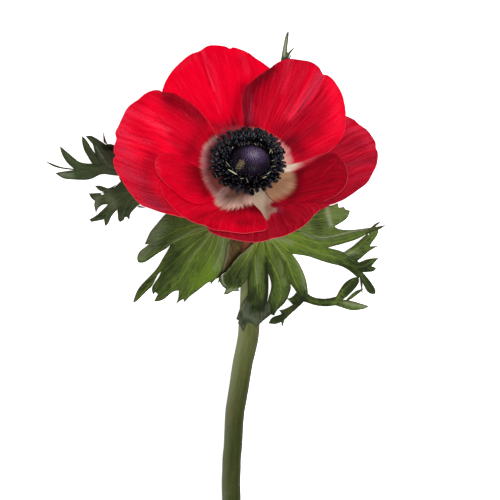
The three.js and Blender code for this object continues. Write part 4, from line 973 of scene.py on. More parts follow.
RIGHT_PATCHES = [
    # arms to the right, from the lowest up
    dict(outline=[[270, 232], [285, 229], [300, 228], [315, 231], [330, 234], [345, 232.5], [360, 230.5], [375, 228.6], [388.5, 224.2], [382, 227.6], [381.5, 228.7], [374.8, 231], [368, 233.4], [359, 238.2], [352.3, 241],
                  [341, 244.4], [334.4, 246], [327.7, 247.8], [335, 250], [318, 250], [300, 247], [284, 243], [272, 240]], lift=-0.1, droop=0.6, seed=11),
    dict(outline=[[371, 227.4], [375, 223.8], [381.8, 220.6], [377.4, 225], [373, 228.4]], lift=0.0, droop=0.1, soften=0),
    dict(outline=[[359.3, 275], [362.6, 283], [362.7, 297.7], [360.6, 285]], lift=0.0, droop=0.0, soften=0, thick=0.2),
    dict(outline=[[357, 268], [363, 272.5], [368, 278], [373.7, 285.9], [376, 291], [375, 294], [371, 294.2], [366.9, 291.5], [363.6, 284.8], [360.2, 278], [356, 272]], lift=0.2, droop=0.5),
    dict(outline=[[264, 238], [270, 234], [282, 234], [295, 240], [310, 244.5], [327.7, 247.8], [338.9, 250], [347.9, 254.5], [354.6, 259], [359, 262.3], [365.8, 259.5], [372, 258.2], [379, 258], [375, 262], [372.5, 264.8], [371.4, 266.3], [375, 267.2], [376.2, 268.8], [373.7, 271.4],
                  [368, 272.2], [362.4, 272.4], [360.5, 276], [358.6, 278.2], [356.8, 277], [349, 270.2], [341, 265.9], [329.9, 263.5], [318.7, 260], [307.4, 255.8], [294.5, 254.3], [284, 252], [272, 246]], lift=0.25, droop=0.7, margin=1.8, seed=13),
    dict(outline=[[342.2, 253.4], [347, 250], [352.3, 246.6], [357, 242.5], [361.3, 238.8], [366, 234.6], [371, 231], [378.4, 229.6], [378, 233], [377, 235.6], [373.9, 239.9], [370.5, 244.4], [370, 246.3], [379, 245.8], [372, 249.2], [366, 253.6], [361.3, 258], [356.8, 261.4], [349, 257.5]],
         holes=[[[367.8, 233.7], [368.9, 233.4], [369.2, 235], [368.2, 235.2]]], lift=0.9, droop=0.7, margin=1.6, seed=17),
    dict(outline=[[272, 232], [285, 221], [300, 213], [318, 208], [327, 206.3], [333, 205], [337.6, 203], [338.8, 207.6], [344.3, 206.8], [345, 209], [350.2, 210.6], [349.2, 214], [347.6, 217.6], [345, 220.2], [341, 222.6], [334.6, 226.4], [338.9, 229.6],
                  [352.3, 230], [363.6, 228.4], [374.8, 227], [386, 224.8], [376, 228.6], [363, 231], [352, 232.7], [343, 235.4], [334.4, 237.4], [323, 239.2], [313, 237.6], [304, 232], [296, 231], [284, 234]], lift=0.9, droop=0.5, margin=2.0, seed=19,
         lifts=[(318, 224, 7, -0.9), (330, 216, 6, 0.7), (340, 228, 7, -0.6)]),
    # the stalk with its small lobes
    dict(outline=[[281.6, 320], [284.8, 319.4], [282.2, 327.6], [281.4, 324]], lift=0.0, droop=0, soften=0, thick=0.2),
    dict(outline=[[299, 290], [304, 289], [308.2, 294], [313, 297], [320, 298.5], [328, 298.5], [334, 297], [338, 296], [342, 300], [344, 304], [340, 307], [335.5, 305.2], [327.7, 306.8], [316.4, 305.8], [307.4, 302.8], [304, 301.6], [298, 307.6],
                  [290, 314.4], [284.6, 320.2], [280, 322.6], [275, 324.4], [268.4, 323.4], [270.7, 319], [273.6, 316.4], [279.6, 314.8], [281.6, 313.7], [279, 310], [284.6, 309.3], [292.9, 304.6], [289.8, 301.4], [286.6, 298.4], [290.5, 298], [294, 295.4], [296.4, 292]], lift=-0.2, droop=0.45, margin=1.2, seed=23),
    dict(outline=[[334, 300], [336.6, 296], [340, 289.3], [344.5, 282.8], [350, 278.8], [354, 277.4], [358, 277], [359.4, 280], [358.2, 284.8], [352.8, 291], [347, 296.6], [341, 301]], lift=0.5, droop=0.7, margin=1.6),
    dict(outline=[[345, 301], [349, 296.6], [354.6, 291.6], [358.6, 289.6], [363.8, 288.6], [361, 291.6], [355, 296.4], [350, 300]], lift=0.6, droop=0.3, margin=1.0, soften=1),
    dict(outline=[[338, 299], [344, 299.6], [351, 300.6], [358, 302.6], [364, 304.4], [369.4, 306.2], [365, 308.6], [361.3, 309.6], [352.3, 310.7], [344.5, 308.5], [337, 305.6]], lift=0.35, droop=0.5, margin=1.4),
    # the hanging lobes: behind, folded back over the stem, then from right to left
    dict(outline=[[219, 276.2], [218.6, 280], [217.6, 283.4], [219.6, 281.4], [221, 284], [223, 286.8], [225.8, 288.8], [229, 286], [231, 280], [226, 275]], lift=-0.7, droop=0.2, soften=0),
    dict(outline=[[247, 296], [244, 301.4], [240.7, 306], [238.2, 313], [236.2, 319.3], [238.8, 320.4], [238, 323.4], [240.8, 326.2], [243.8, 331.6], [245.4, 327], [248, 323.6], [251, 326.4], [254.6, 325.6], [256, 327.4], [258, 324.6], [261, 323.4], [262.4, 321.4], [266.6, 318],
                  [271, 314.4], [276.4, 310], [277, 303], [270, 300], [262, 303], [254, 304]], lift=-0.15, droop=0.5, margin=1.8, under=1.0, seed=29),
    dict(outline=[[262, 236], [270, 232], [282, 243], [290, 251], [294, 256], [299, 263], [303.9, 272.9], [306.5, 281], [307.6, 288], [308.2, 294.3], [305, 298], [300, 297], [296.4, 292], [293.4, 287.6], [290, 283.5], [288.4, 281],
                  [286.2, 275], [283, 265], [277, 254], [270, 244], [264, 240]], lift=0.3, droop=1.0, margin=1.8, seed=31),
    dict(outline=[[260, 236], [267, 235], [272, 243], [279, 254], [284.6, 265.4], [287, 274], [288.6, 281], [290.6, 284.4], [291, 288.4], [289.2, 294.6], [285, 303], [280, 307.4], [277, 310], [274.2, 315.6], [270.8, 314.6], [267.8, 309.3],
                  [267.4, 302], [268.6, 297], [270.6, 291], [271.4, 285], [270, 278], [267.4, 271.4], [265.2, 258], [263, 247]], lift=0.6, droop=1.2, margin=2.2, seed=37),
    dict(outline=[[257, 238], [263, 235], [265.5, 246], [267, 258], [268, 268], [268.4, 276], [268.6, 284], [268.4, 292], [267.8, 298], [266.6, 305], [264, 311], [259.8, 314.4], [254, 315.6], [248, 315.2], [250.8, 311], [249.6, 305], [246.6, 300.4],
                  [248, 296], [249, 290], [248.4, 282], [247.8, 276], [249, 266], [251, 256], [254, 246]], lift=0.95, droop=1.3, margin=2.4, seed=41),
    dict(outline=[[258, 236], [254, 241.6], [252.3, 244], [245, 250.8], [240, 254.4], [235, 260], [231, 265.4], [227, 270.4], [222.6, 275], [221.2, 277], [222.4, 280], [225, 283], [226.6, 285.8], [226, 289], [223.4, 294.6], [228, 294.2], [231, 292.4],
                  [233, 291.2], [236.5, 291.4], [239.6, 290.7], [238.3, 288.5], [241.2, 286.5], [244.2, 283], [246.6, 279.4], [248, 276], [250, 268], [253, 258], [257, 248], [261, 240]], lift=1.3, droop=0.8, margin=2.0, seed=43),
]
RIGHT_VEINS = [
    [[258, 240], [250, 252], [243, 264], [236, 275], [232, 288]],
    [[259, 238], [256, 250], [255.5, 265], [257, 282], [258, 298], [257, 311]],
    [[262, 237], [266, 252], [273, 266], [279, 280], [281, 294], [276, 308]],
    [[268, 236], [279, 249], [287, 260], [291.5, 272], [297, 285], [304, 296], [318, 302.5], [332, 302], [345, 303], [362, 306]],
    [[270, 235], [285, 247], [297, 262], [302, 277]],
    [[268, 234], [285, 238.5], [300, 245], [320, 252.5], [340, 259], [352, 266], [362, 266.5], [376, 259]],
    [[352, 266], [360, 273], [366, 283], [372.5, 292]],
    [[270, 232], [290, 235], [308, 240], [325, 243], [345, 240], [365, 233]],
    [[280, 228], [300, 220], [320, 214], [340, 209]],
    [[300, 221], [318, 219], [342, 215]],
    [[345, 256], [356, 249], [366, 240], [375, 231]],
    [[336, 300], [345, 289], [354, 279]],
]
# spots (x, y, radius, amount): the leaf's own tone with painted shade and painted light
RIGHT_SPOTS = [(262, 245, 9, 0.7), (292, 240, 12, 0.9), (318, 252, 8, 0.4), (236, 277, 7, -0.7), (244, 262, 6, 0.1), (300, 272, 8, 0.3), (252, 300, 7, -0.4), (262, 306, 8, -0.5), (300, 300, 9, -0.9), (325, 302, 8, -1.0), (350, 286, 8, -1.0), (368, 266, 8, -0.9),
               (371, 288, 7, -1.0), (350, 265, 9, -0.6), (358, 305, 8, 0.1), (276, 318, 9, -0.9), (345, 230, 12, 0.0), (368, 240, 7, 0.0), (268, 280, 3.5, -0.8), (335, 212, 9, 0.35), (318, 222, 6, -0.4), (280, 300, 6, 0.0)]

# marks as for the left bract: painted highlights on folds, painted shade in furrows and between lobes, with paler veins
# and margins
RIGHT_MARKS = [
    ([[304, 298], [293, 308], [280, 317]], 5, -0.55), ([[234, 268], [228, 282]], 7, -0.24), ([[244, 262], [238, 276]], 4, -0.25), ([[256, 290], [259, 306]], 4, -0.30), ([[310, 226], [322, 232]], 6, 0.10), ([[326, 212], [345, 214]], 11, 0.10), ([[356, 248], [368, 240]], 3.5, -0.30),
    ([[286, 262], [284, 276]], 1.6, -0.30), ([[272, 246], [276, 258]], 1.6, -0.28), ([[260, 244], [259.5, 262]], 1.4, -0.30), ([[249.6, 262], [248.8, 278]], 1.6, -0.45),
    ([[265, 264], [266, 284], [264.4, 300]], 2.2, -0.6), ([[253, 308], [262, 309.6]], 4.5, -0.5), ([[296, 293], [304, 300], [299, 307]], 5, -0.5), ([[270, 321], [282, 314]], 4, -0.5), ([[251, 292], [249.6, 302], [251, 312]], 2.2, -0.35),
    ([[276, 246], [286, 262], [290, 278]], 1.2, 0.22), ([[254, 240], [248, 250], [240, 262]], 2.2, 0.20), ([[240, 309], [250, 318], [262, 316], [272, 308]], 3.2, 0.10), ([[244, 300], [240, 312]], 1.6, 0.30), ([[244, 324], [247, 320], [252, 323]], 2.4, -0.45), ([[262, 320], [270, 313]], 1.4, -0.4),
    ([[224, 292], [230, 290], [238, 289]], 2.6, 0.45), ([[240, 272], [246, 268]], 3, -0.25),
    ([[327, 205], [328, 214], [331, 225]], 2.6, 0.46), ([[318, 210], [316, 222], [318, 231]], 5, -0.40), ([[300, 231], [312, 236.4], [326, 238], [338, 235.4], [352, 232], [366, 229.6]], 1.1, 0.60), ([[340, 229.5], [356, 229.2], [372, 227.4]], 0.9, 0.35),
    ([[350, 268], [364, 271]], 6, -0.45), ([[365, 275], [373, 291]], 5, -0.45), ([[266.4, 258], [267.6, 276], [267.4, 296], [262, 309]], 3.0, -0.75), ([[250, 262], [249.4, 282], [250, 300]], 2, -0.30), ([[257.5, 258], [257.5, 292]], 2.2, 0.18),
    ([[270.6, 264], [272.6, 282], [270, 300], [272, 312]], 2.0, -0.45), ([[290, 284], [288.6, 296], [279, 308]], 2.4, -0.50), ([[280, 262], [284.6, 284]], 2.2, 0.14), ([[252.6, 244.6], [240.6, 254.6], [230, 267.5], [222.2, 276.6]], 0.9, 0.85),
    ([[228, 281], [241, 285]], 5, -0.40), ([[221.6, 277.4], [223.6, 282.4], [226.4, 286.8]], 0.9, 1.8), ([[294, 256], [301, 272], [305, 289]], 2.2, 0.20), ([[264, 240], [277, 238], [292, 243]], 3.4, 0.30), ([[286, 262], [292, 280]], 1.2, -0.30),
    ([[246, 256], [238, 270]], 3, -0.15), ([[255, 290], [259, 307]], 5, -0.42), ([[275, 292], [277, 304]], 4, -0.2), ([[310, 258], [330, 264], [346, 270]], 2.2, -0.40), ([[290, 247], [318, 256], [340, 262]], 1.4, -0.20), ([[352, 249], [366, 237]], 1.8, -0.35), ([[348, 254], [356, 250]], 4, 0.25),
    ([[345, 303], [356, 305.5], [366, 306.6]], 2, 0.35), ([[358, 270], [370, 260]], 2.0, -0.2), ([[252, 312], [262, 317], [272, 310]], 4, -0.30), ([[240, 312], [244, 322]], 3, -0.35), ([[264, 235], [266, 250]], 1.4, -0.35), ([[256, 240], [254, 250]], 1.2, -0.3)]

BACK_Z = height_field([
    [250, 217, 0.7], [242, 200, 0.6], [220, 185, 0.8], [190, 175, 1.0], [150, 172, 1.4], [120, 165, 2.2], [95, 152, 1.6], [84, 140, 0.9],
    [62, 148, 0.7], [45, 161, 0.4], [60, 175, 0.7], [90, 172, 2.0], [120, 190, 1.9], [95, 196, 1.1], [100, 215, 0.6], [120, 218, 0.6],
    [250, 160, 0.5], [262, 120, 0.5], [275, 80, 0.9], [287, 45, 0.8], [300, 180, 0.5], [325, 140, 0.4]], 14)
BACK_PATCHES = [
    # a hidden arm under the flower that carries the far-left leaves and the tip behind the top tepals
    dict(outline=[[246, 218], [240, 211], [236, 204], [226, 196], [212, 191], [196, 189], [180, 190], [164, 194], [150, 196], [136, 196], [122, 184], [118, 176], [120, 160], [130, 154], [142, 160], [160, 168], [178, 172], [196, 173], [212, 171], [224, 165],
                  [232, 152], [238, 136], [245, 120], [254, 104], [264, 90], [273, 76], [280.4, 64], [282, 54], [283.5, 46], [285, 38], [286.4, 33.6], [288.6, 30.8], [289, 33], [288, 42], [287, 51.6], [288, 53], [292.5, 48.5], [295.6, 47], [290.6, 52.6], [287.5, 60], [281, 80], [273, 98],
                  [266, 114], [262, 130], [262, 144], [268, 152], [280, 148], [294, 138], [306, 126], [316, 114], [322, 108], [326, 112], [322, 126], [331, 124], [336, 130], [326, 142], [336, 146],
                  [334, 152], [318, 158], [306, 168], [308, 178], [300, 182], [288, 178], [276, 178], [266, 184], [260, 194], [257, 206], [256, 212], [254, 218]], lift=0.1, droop=0.3, seed=3),
    dict(outline=[[287, 59.4], [288.4, 58.2], [292.8, 52.2], [289.6, 59.6]], lift=0.2, droop=0, soften=0, thick=0.2),
    # upper far-left leaf: lower arm
    dict(outline=[[128, 176], [119, 176], [110, 175], [104, 174], [99, 175], [94, 178], [88, 180], [80, 180], [72, 179.6], [64, 179], [59, 176], [55, 173], [59.5, 172], [63, 171.4], [74, 170], [66, 169.4], [58, 168.0], [51.2, 165.6], [44.4, 160.6], [52.9, 163.8], [60.4, 166.8], [68, 168.0], [74, 168.8], [68, 164], [63, 157], [60.5, 150], [60, 145.8], [66, 151], [72, 156],
                  [77, 160.5], [82, 163], [92, 163.8], [104, 162], [116, 158], [128, 160]], lift=0.3, droop=0.5, margin=1.8, seed=7),
    dict(outline=[[92.4, 164.4], [88, 157], [84, 150], [82, 142], [82, 135.8], [86, 139.5], [89, 144], [90.6, 147], [94, 152], [99, 158], [104, 164], [98, 166]], lift=0.8, droop=0.5, margin=1.2, seed=9),
    dict(outline=[[104, 166], [97, 158], [94, 150], [93.2, 144.4], [88, 139], [85.4, 136], [91, 135.4], [96, 138], [102, 142], [108, 146], [112, 152], [116, 166]], lift=1.2, droop=0.4, margin=1.4, seed=11),
    dict(outline=[[103.6, 142], [103, 130.8], [106, 141], [108.6, 146]], lift=1.4, droop=0, soften=0, thick=0.2),
    dict(outline=[[106, 168], [100, 156], [99, 149], [103, 146.5], [107, 144], [112, 144], [116, 146.5], [124, 152], [128, 166], [118, 172]], lift=1.7, droop=0.6, margin=1.4, seed=12),
    # lower far-left leaf
    dict(outline=[[117, 184], [112, 187], [108, 188.5], [104, 187], [100, 185.4], [95, 186], [97, 188.4], [100, 191], [105, 192.4], [110, 191]], lift=0.2, droop=0.3, margin=1.0),
    dict(outline=[[126, 180], [121, 181], [117, 185], [111, 189.5], [104, 192.4], [98, 193], [89, 193.4], [90, 196], [92, 199], [95, 201], [94, 205], [96, 213.2], [98, 208], [103, 204.4], [108, 204.5], [102, 210.4], [96, 216], [89.6, 219.2], [91, 222], [97, 221], [104, 219.4], [105.2, 226.4], [108.2, 224],
                  [111, 217], [114, 213], [117.2, 209.8], [118, 215], [118, 220], [120, 222.2], [124, 220], [125, 217], [127, 217], [129.6, 220.4], [130, 214], [134, 209.4], [138, 205.4], [143, 203], [150, 206], [160, 200], [150, 190], [138, 182]],
         holes=[[[100.6, 193.6], [103, 193.2], [104.4, 194], [102, 195]]], lift=0.6, droop=0.7, margin=2.0, seed=14),
    dict(outline=[[139, 205.6], [142, 206.4], [146, 207.8], [141, 207.9], [137, 207.2]], lift=0.2, droop=0, soften=0, thick=0.2),
]
BACK_VEINS = [
    [[128, 168], [112, 168], [98, 170], [84, 172], [70, 174]], [[98, 169], [84, 167], [72, 160], [63, 150]], [[104, 164], [96, 156], [88, 147], [84, 139]],
    [[110, 162], [104, 152], [98, 144], [90, 138]], [[140, 188], [124, 193], [108, 197], [94, 197]], [[130, 192], [118, 200], [108, 212], [106, 222]], [[118, 200], [106, 209], [94, 218]], [[134, 192], [127, 204], [122, 218]],
]
# spots: painted light on the arm under the flower against its shade, with the far-left leaves' own tone and painted
# shade
BACK_SPOTS = [(205, 182, 22, 0.9), (160, 182, 14, 0.5), (244, 195, 14, 0.8), (262, 120, 26, 0.8), (312, 135, 20, 0.8), (95, 170, 12, 0.2), (108, 152, 7, -0.6), (66, 160, 9, -0.3), (112, 200, 8, 0.15), (100, 215, 8, -0.5), (96, 196, 6, -0.3), (123, 212, 7, -0.4)]

# marks: broad painted light along the arm under the flower against its shade, with paler veins and darker folds
BACK_MARKS = [([[150, 178], [205, 182], [246, 196]], 14, 0.34), ([[262, 172], [262, 120], [280, 84]], 14, 0.30), ([[252, 165], [312, 135], [330, 122]], 13, 0.30), ([[107, 196], [114, 205]], 5, 0.22), ([[118, 150], [108, 160], [116, 170]], 12, 0.30), ([[96.5, 147], [103, 158]], 1.0, 0.5), ([[104, 147], [115, 149]], 2.0, -0.9), ([[72, 176], [62, 174]], 3, 0.3), ([[98, 199], [94, 210]], 4, 0.3), ([[112, 190], [98, 193]], 0.8, 0.4), ([[286, 36], [284, 56]], 1.4, 0.9)]


leaves = {
    "bract_left": leaf("bract_left", LEFT_PATCHES, LEFT_Z, LEFT_VEINS, LEFT_SPOTS, LEFT_MARKS, (226, 216)),
    "bract_right": leaf("bract_right", RIGHT_PATCHES, RIGHT_Z, RIGHT_VEINS, RIGHT_SPOTS, RIGHT_MARKS, (258, 224)),
    "bract_back": leaf("bract_back", BACK_PATCHES, BACK_Z, BACK_VEINS, BACK_SPOTS, BACK_MARKS, (160, 180)),
}


def leaf_material(name, dark, mid, bright, vein_color, vein_width=0.17):
    m = Nodes(name)
    uv = m.uv("fan")
    streak = m.noise(m.mapped(uv, (55, 0.35, 1)), 1.0, 3.0, 0.6)
    fine = m.noise(m.mapped(uv, (120, 0.9, 1), (2.0, 0, 0)), 1.0, 3.0, 0.6)
    spotty = m.noise(m.coords(), 420.0, 3.0, 0.6)
    # the spots' painted shade and light with the leaves' own tone, plus random streaks
    tone = m.math("ADD", m.attr("tone"), m.math("MULTIPLY", m.math("SUBTRACT", streak, 0.5), 3.0))
    tone = m.math("ADD", tone, m.math("MULTIPLY", m.math("SUBTRACT", fine, 0.5), 1.6))
    tone = m.math("ADD", tone, m.math("MULTIPLY", m.math("SUBTRACT", spotty, 0.5), 0.8))
    c = m.mix(m.ramp(tone, -0.9, 0.0), dark, mid)
    c = m.mix(m.ramp(tone, 0.0, 0.95), c, bright)
    # paler towards the foot of the leaf, where the veins come together
    c = m.mix(m.ramp(m.attr("hub"), 3.0, 13.0, 0.5, 0.0), c, (0.15, 0.20, 0.045))
    vein = m.ramp(m.attr("vein"), 0.05, vein_width, 0.95, 0.0)
    vein = m.math("MULTIPLY", vein, m.ramp(m.attr("tone"), -0.9, -0.2, 0.12, 1.0))
    vein = m.math("MULTIPLY", vein, m.ramp(m.attr("hub"), 8.0, 24.0, 1.0, 0.50))
    c = m.mix(m.math("MULTIPLY", vein, m.ramp(fine, 0.35, 0.65, 0.35, 1.0)), c, vein_color)
    halo = m.ramp(m.attr("vein"), 0.15, 0.7, 0.25, 0.0)
    c = m.mix(halo, c, bright)
    # on the shaded copy the undersides are lighter: painted light on the arm under the flower
    below = ((0.075, 0.105, 0.045), (0.125, 0.160, 0.078)) if name == "leaf_shaded" else ((0.032, 0.038, 0.024), (0.064, 0.073, 0.049))
    under = m.mix(m.ramp(m.math("ADD", streak, m.math("MULTIPLY", m.math("SUBTRACT", fine, 0.5), 0.8)), 0.3, 0.7), *below)
    c = m.mix(m.math("MULTIPLY", m.attr("under"), 0.85), c, under)
    # dark brown patches: partly the bract's own brown tint, partly painted shade
    brown = m.mix(m.ramp(streak, 0.35, 0.65), (0.030, 0.018, 0.006), (0.088, 0.064, 0.020))
    c = m.mix(m.attr("brown"), c, brown)
    # the marks: painted highlight towards pale green, painted shade towards near black; the strongest turn whitish on
    # pale curled margins
    c = m.mix(m.ramp(m.attr("light"), 0.0, 1.0, smooth=False), c, (0.26, 0.30, 0.19))
    c = m.mix(m.ramp(m.attr("light"), 0.0, -1.0, smooth=False), c, (0.010, 0.015, 0.005))
    # painted shade: a dark band along every lobe margin
    rim = m.ramp(m.attr("edge"), 0.06, 0.42, 0.70, 0.0)
    c = m.mix(rim, c, (0.035, 0.034, 0.018))
    c = m.mix(m.ramp(m.attr("light"), 0.8, 1.5, 0.0, 0.9), c, (0.46, 0.49, 0.41))
    h = m.math("ADD", m.math("MULTIPLY", streak, 0.8), m.math("MULTIPLY", fine, 0.7))
    h = m.math("ADD", h, m.math("MULTIPLY", vein, -0.5))
    normal = m.bump(h, 0.6, 0.00018)
    return m.surface(c, m.ramp(spotty, 0.3, 0.7, 0.45, 0.6, False), spec=0.05, sheen=0.005, normal=normal, sheen_rough=0.5)


leaf_green = leaf_material("leaf_green", (0.016, 0.026, 0.007), (0.056, 0.085, 0.018), (0.088, 0.150, 0.014), (0.28, 0.32, 0.06))
# a darker, greyer copy of the leaf colours: painted shade for the far-left leaves and the arm under the flower
leaf_shaded = leaf_material("leaf_shaded", (0.014, 0.022, 0.010), (0.045, 0.064, 0.027), (0.070, 0.100, 0.036), (0.11, 0.14, 0.065))
leaves["bract_left"].data.materials.append(leaf_green)
leaves["bract_right"].data.materials.append(leaf_green)
leaves["bract_back"].data.materials.append(leaf_shaded)

# ---------------------------------------------------------------- stem
def tube(points, radii, sides, ribs=None, across0=(1.0, 0, 0), caps=True):
    P = np.asarray(points, float)
    n = len(P)
    T = np.gradient(P, axis=0)
    T /= np.linalg.norm(T, axis=1, keepdims=True) + 1e-12
    across = np.array(across0)
    V = []
    ang = np.arange(sides) / sides * 2 * math.pi
    for i in range(n):
        across = across - T[i] * (across @ T[i])
        across /= np.linalg.norm(across) + 1e-12
        other = np.cross(T[i], across)
        r = radii[i] * (1 + (ribs(ang, i / (n - 1)) if ribs else 0 * ang))
        V.append(P[i] + np.multiply.outer(np.cos(ang) * r, across) + np.multiply.outer(np.sin(ang) * r, other))
    idx = np.arange(n * sides).reshape(n, sides)
    nx = np.roll(idx, -1, axis=1)
    F = np.stack([idx[:-1], nx[:-1], nx[1:], idx[1:]], -1).reshape(-1, 4)
    return np.vstack(V), F


STEM_PLAN = [
    [250.8, 238], [250.6, 262], [250.2, 285], [249.6, 305], [249.2, 326], [248.1, 338], [245.7, 350], [243, 362],
    [241, 374], [239.2, 386], [237.2, 398], [235.2, 410], [234.2, 422], [233.6, 434], [233, 446], [231.8, 458],
    [231.5, 470], [231, 482], [231.4, 499]]
STEM_WIDTH = [[238, 20], [305, 20], [326, 21.6], [338, 21.4], [350, 21.0], [362, 20.6], [374, 20.4], [398, 20.0], [422, 19.2], [446, 19.0], [499, 19.2], [520, 19.2]]


def stem():
    near, rest = [], []
    top = from_flower(np.array(0.0), np.array(0.0), np.array(2.4))
    h = lambda x, y, d: from_flower(np.array(float(x)), np.array(float(y)), np.array(float(d)))
    column = [(h(0, 0, 2.6), 3.0), (h(0, 0, 1.4), 3.1), (h(0, 0, 0.2), 3.15), (h(0, 0, -0.9), 3.35), (h(0, 0, -2.2), 3.2), (h(0, 0, -3.2), 2.9), (h(0, 0, -4.4), 2.5)]
    root = plan(np.array(250.8), np.array(238.0), np.array(3.0))
    neck = smooth_line([h(0, 0, -4.4), h(0, 0, -7.5), h(0.1, 0.3, -12.2), root + [0.05, 5.6, 0.95], root, root + [0, -6, 0]], 12)
    neck = neck[1:-12]
    n = len(neck)
    column += [(neck[i], 2.2 + 0.8 * float(step(np.array(i / n), 0.35, 1.0))) for i in range(n)]
    widths = np.array(STEM_WIDTH)
    flat = []
    for px, py in STEM_PLAN[1:]:
        r = float(np.interp(py, widths[:, 0], widths[:, 1])) * UNIT / 2
        flat.append([*plan(np.array(float(px)), np.array(float(py)), np.array(r))[:2], r])
    for x, y in [[-5.55, -82], [-5.5, -92], [-5.2, -105], [-4.3, -122], [-3.0, -140], [-1.5, -157], [0.2, -172], [1.8, -185]]:
        flat.append([x, y, 2.75])
    flat = smooth_line(flat, 8)
    column += [(np.array([p[0], p[1], p[2]]), p[2]) for p in flat]
    P = np.array([c[0] for c in column])
    R = np.array([c[1] for c in column])
    sides = 56

    def ribs(a, t):
        lean = 0.3 * t
        return (0.010 * np.sin(11 * a + lean) + 0.006 * np.sin(17 * a + 2 + 9 * t) + 0.004 * np.sin(29 * a + 5 * t)) * (0.3 + 0.7 * step(np.array(t), 0.1, 0.3))
    V, F = tube(P, R, sides, ribs)
    # ends: the top is hidden inside the flower, the cut end has a rounded lip, a ring and a shallow hollow
    rows = [V.reshape(len(P), sides, 3)]
    dirn = P[-1] - P[-2]
    dirn = dirn / np.linalg.norm(dirn)
    last = V[-sides:]
    for scale, push in ((0.97, 0.10), (0.88, 0.13), (0.62, 0.03), (0.5, -0.35), (0.3, -0.45), (0.04, -0.5)):
        rows.append((P[-1] + (last - P[-1]) * scale + dirn * push)[None])
    first = V[:sides]
    pre = [(P[0] + (first - P[0]) * 0.04)[None], (P[0] + (first - P[0]) * 0.7)[None]]
    G = np.concatenate(pre + rows)
    n = len(G)
    idx = np.arange(n * sides).reshape(n, sides)
    nx = np.roll(idx, -1, axis=1)
    F = np.stack([idx[:-1], nx[:-1], nx[1:], idx[1:]], -1).reshape(-1, 4)
    faces = [tuple(f) for f in F.tolist()] + [tuple(idx[0][::-1].tolist()), tuple(idx[-1].tolist())]
    length = np.concatenate([[0], np.cumsum(np.linalg.norm(np.diff(G.mean(1), axis=0), axis=1))])
    along_ = np.repeat(length, sides)
    cut = np.zeros(n)
    cut[-5:] = [0.5, 1, 1, 1, 1]
    core = np.zeros(n)
    core[-3:] = 1
    py = 250 - G[..., 1].ravel() / UNIT
    ang = np.tile(np.arange(sides) / sides * 2 * math.pi, n)
    uv = np.stack([np.abs(ang - math.pi) , along_], -1)
    o = mesh_object("stem_stalk", G.reshape(-1, 3), faces,
                    attributes={"down": py, "inner": np.repeat(step((G.mean(1) - HEART) @ AXIS, -0.9, 0.3) * (np.linalg.norm(G.mean(1) - HEART, axis=1) < 5), sides), "left": -((G - G.mean(1, keepdims=True))[..., 0] / (np.abs(G - G.mean(1, keepdims=True)).max(axis=(1, 2))[:, None] + 1e-9)).ravel(), "cut": np.repeat(cut, sides), "core": np.repeat(core, sides)}, uvs={"grain": uv})
    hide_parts("stem")
    return o


stalk = stem()
sm = Nodes("stem_green")
uv = sm.uv("grain")
grain = sm.noise(sm.mapped(uv, (9, 0.12, 1)), 1.0, 4.0, 0.6)
fine = sm.noise(sm.mapped(uv, (34, 0.35, 1), (5, 0, 0)), 1.0, 3.0, 0.6)
blotch = sm.noise(sm.coords(), 90.0, 3.0, 0.55)
upper = sm.mix(sm.ramp(grain, 0.35, 0.68), (0.062, 0.074, 0.017), (0.096, 0.108, 0.038))
lower = sm.mix(sm.ramp(grain, 0.35, 0.68), (0.020, 0.027, 0.004), (0.036, 0.044, 0.011))
c = sm.mix(sm.ramp(sm.attr("down"), 330.0, 450.0), upper, lower)
# painted light down the stem's left side and painted shade down its right side
side_light = sm.mix(sm.ramp(sm.attr("down"), 330.0, 450.0), (0.24, 0.27, 0.14), (0.13, 0.15, 0.075))
c = sm.mix(sm.ramp(sm.attr("left"), 0.0, 0.9, 0.0, 0.62), c, side_light)
c = sm.mix(sm.math("MULTIPLY", sm.ramp(sm.attr("left"), 0.1, -0.9), sm.ramp(sm.attr("down"), 345.0, 400.0, 0.50, 0.75)), c, (0.020, 0.025, 0.004))
c = sm.mix(sm.ramp(blotch, 0.55, 0.75, 0.0, 0.25), c, (0.14, 0.10, 0.045))
c = sm.mix(sm.ramp(sm.attr("down"), 250.0, 266.0, 0.85, 0.0), c, (0.17, 0.040, 0.022))
# painted shade: darker, then near black, where the stem runs up inside the flower
c = sm.mix(sm.ramp(sm.attr("down"), 232.0, 204.0, 0.0, 0.35), c, (0.10, 0.030, 0.022))
c = sm.mix(sm.attr("inner"), c, (0.010, 0.004, 0.007))
c = sm.mix(sm.attr("cut"), c, (0.30, 0.34, 0.14))
c = sm.mix(sm.attr("core"), c, (0.10, 0.11, 0.04))
stem_material = sm.surface(c, sm.ramp(blotch, 0.3, 0.7, 0.45, 0.6, False), spec=0.05, sheen=0.01, sheen_rough=0.4,
                           normal=sm.bump(sm.math("ADD", grain, sm.math("MULTIPLY", fine, 0.6)), 0.45, 0.00018))
stalk.data.materials.append(stem_material)


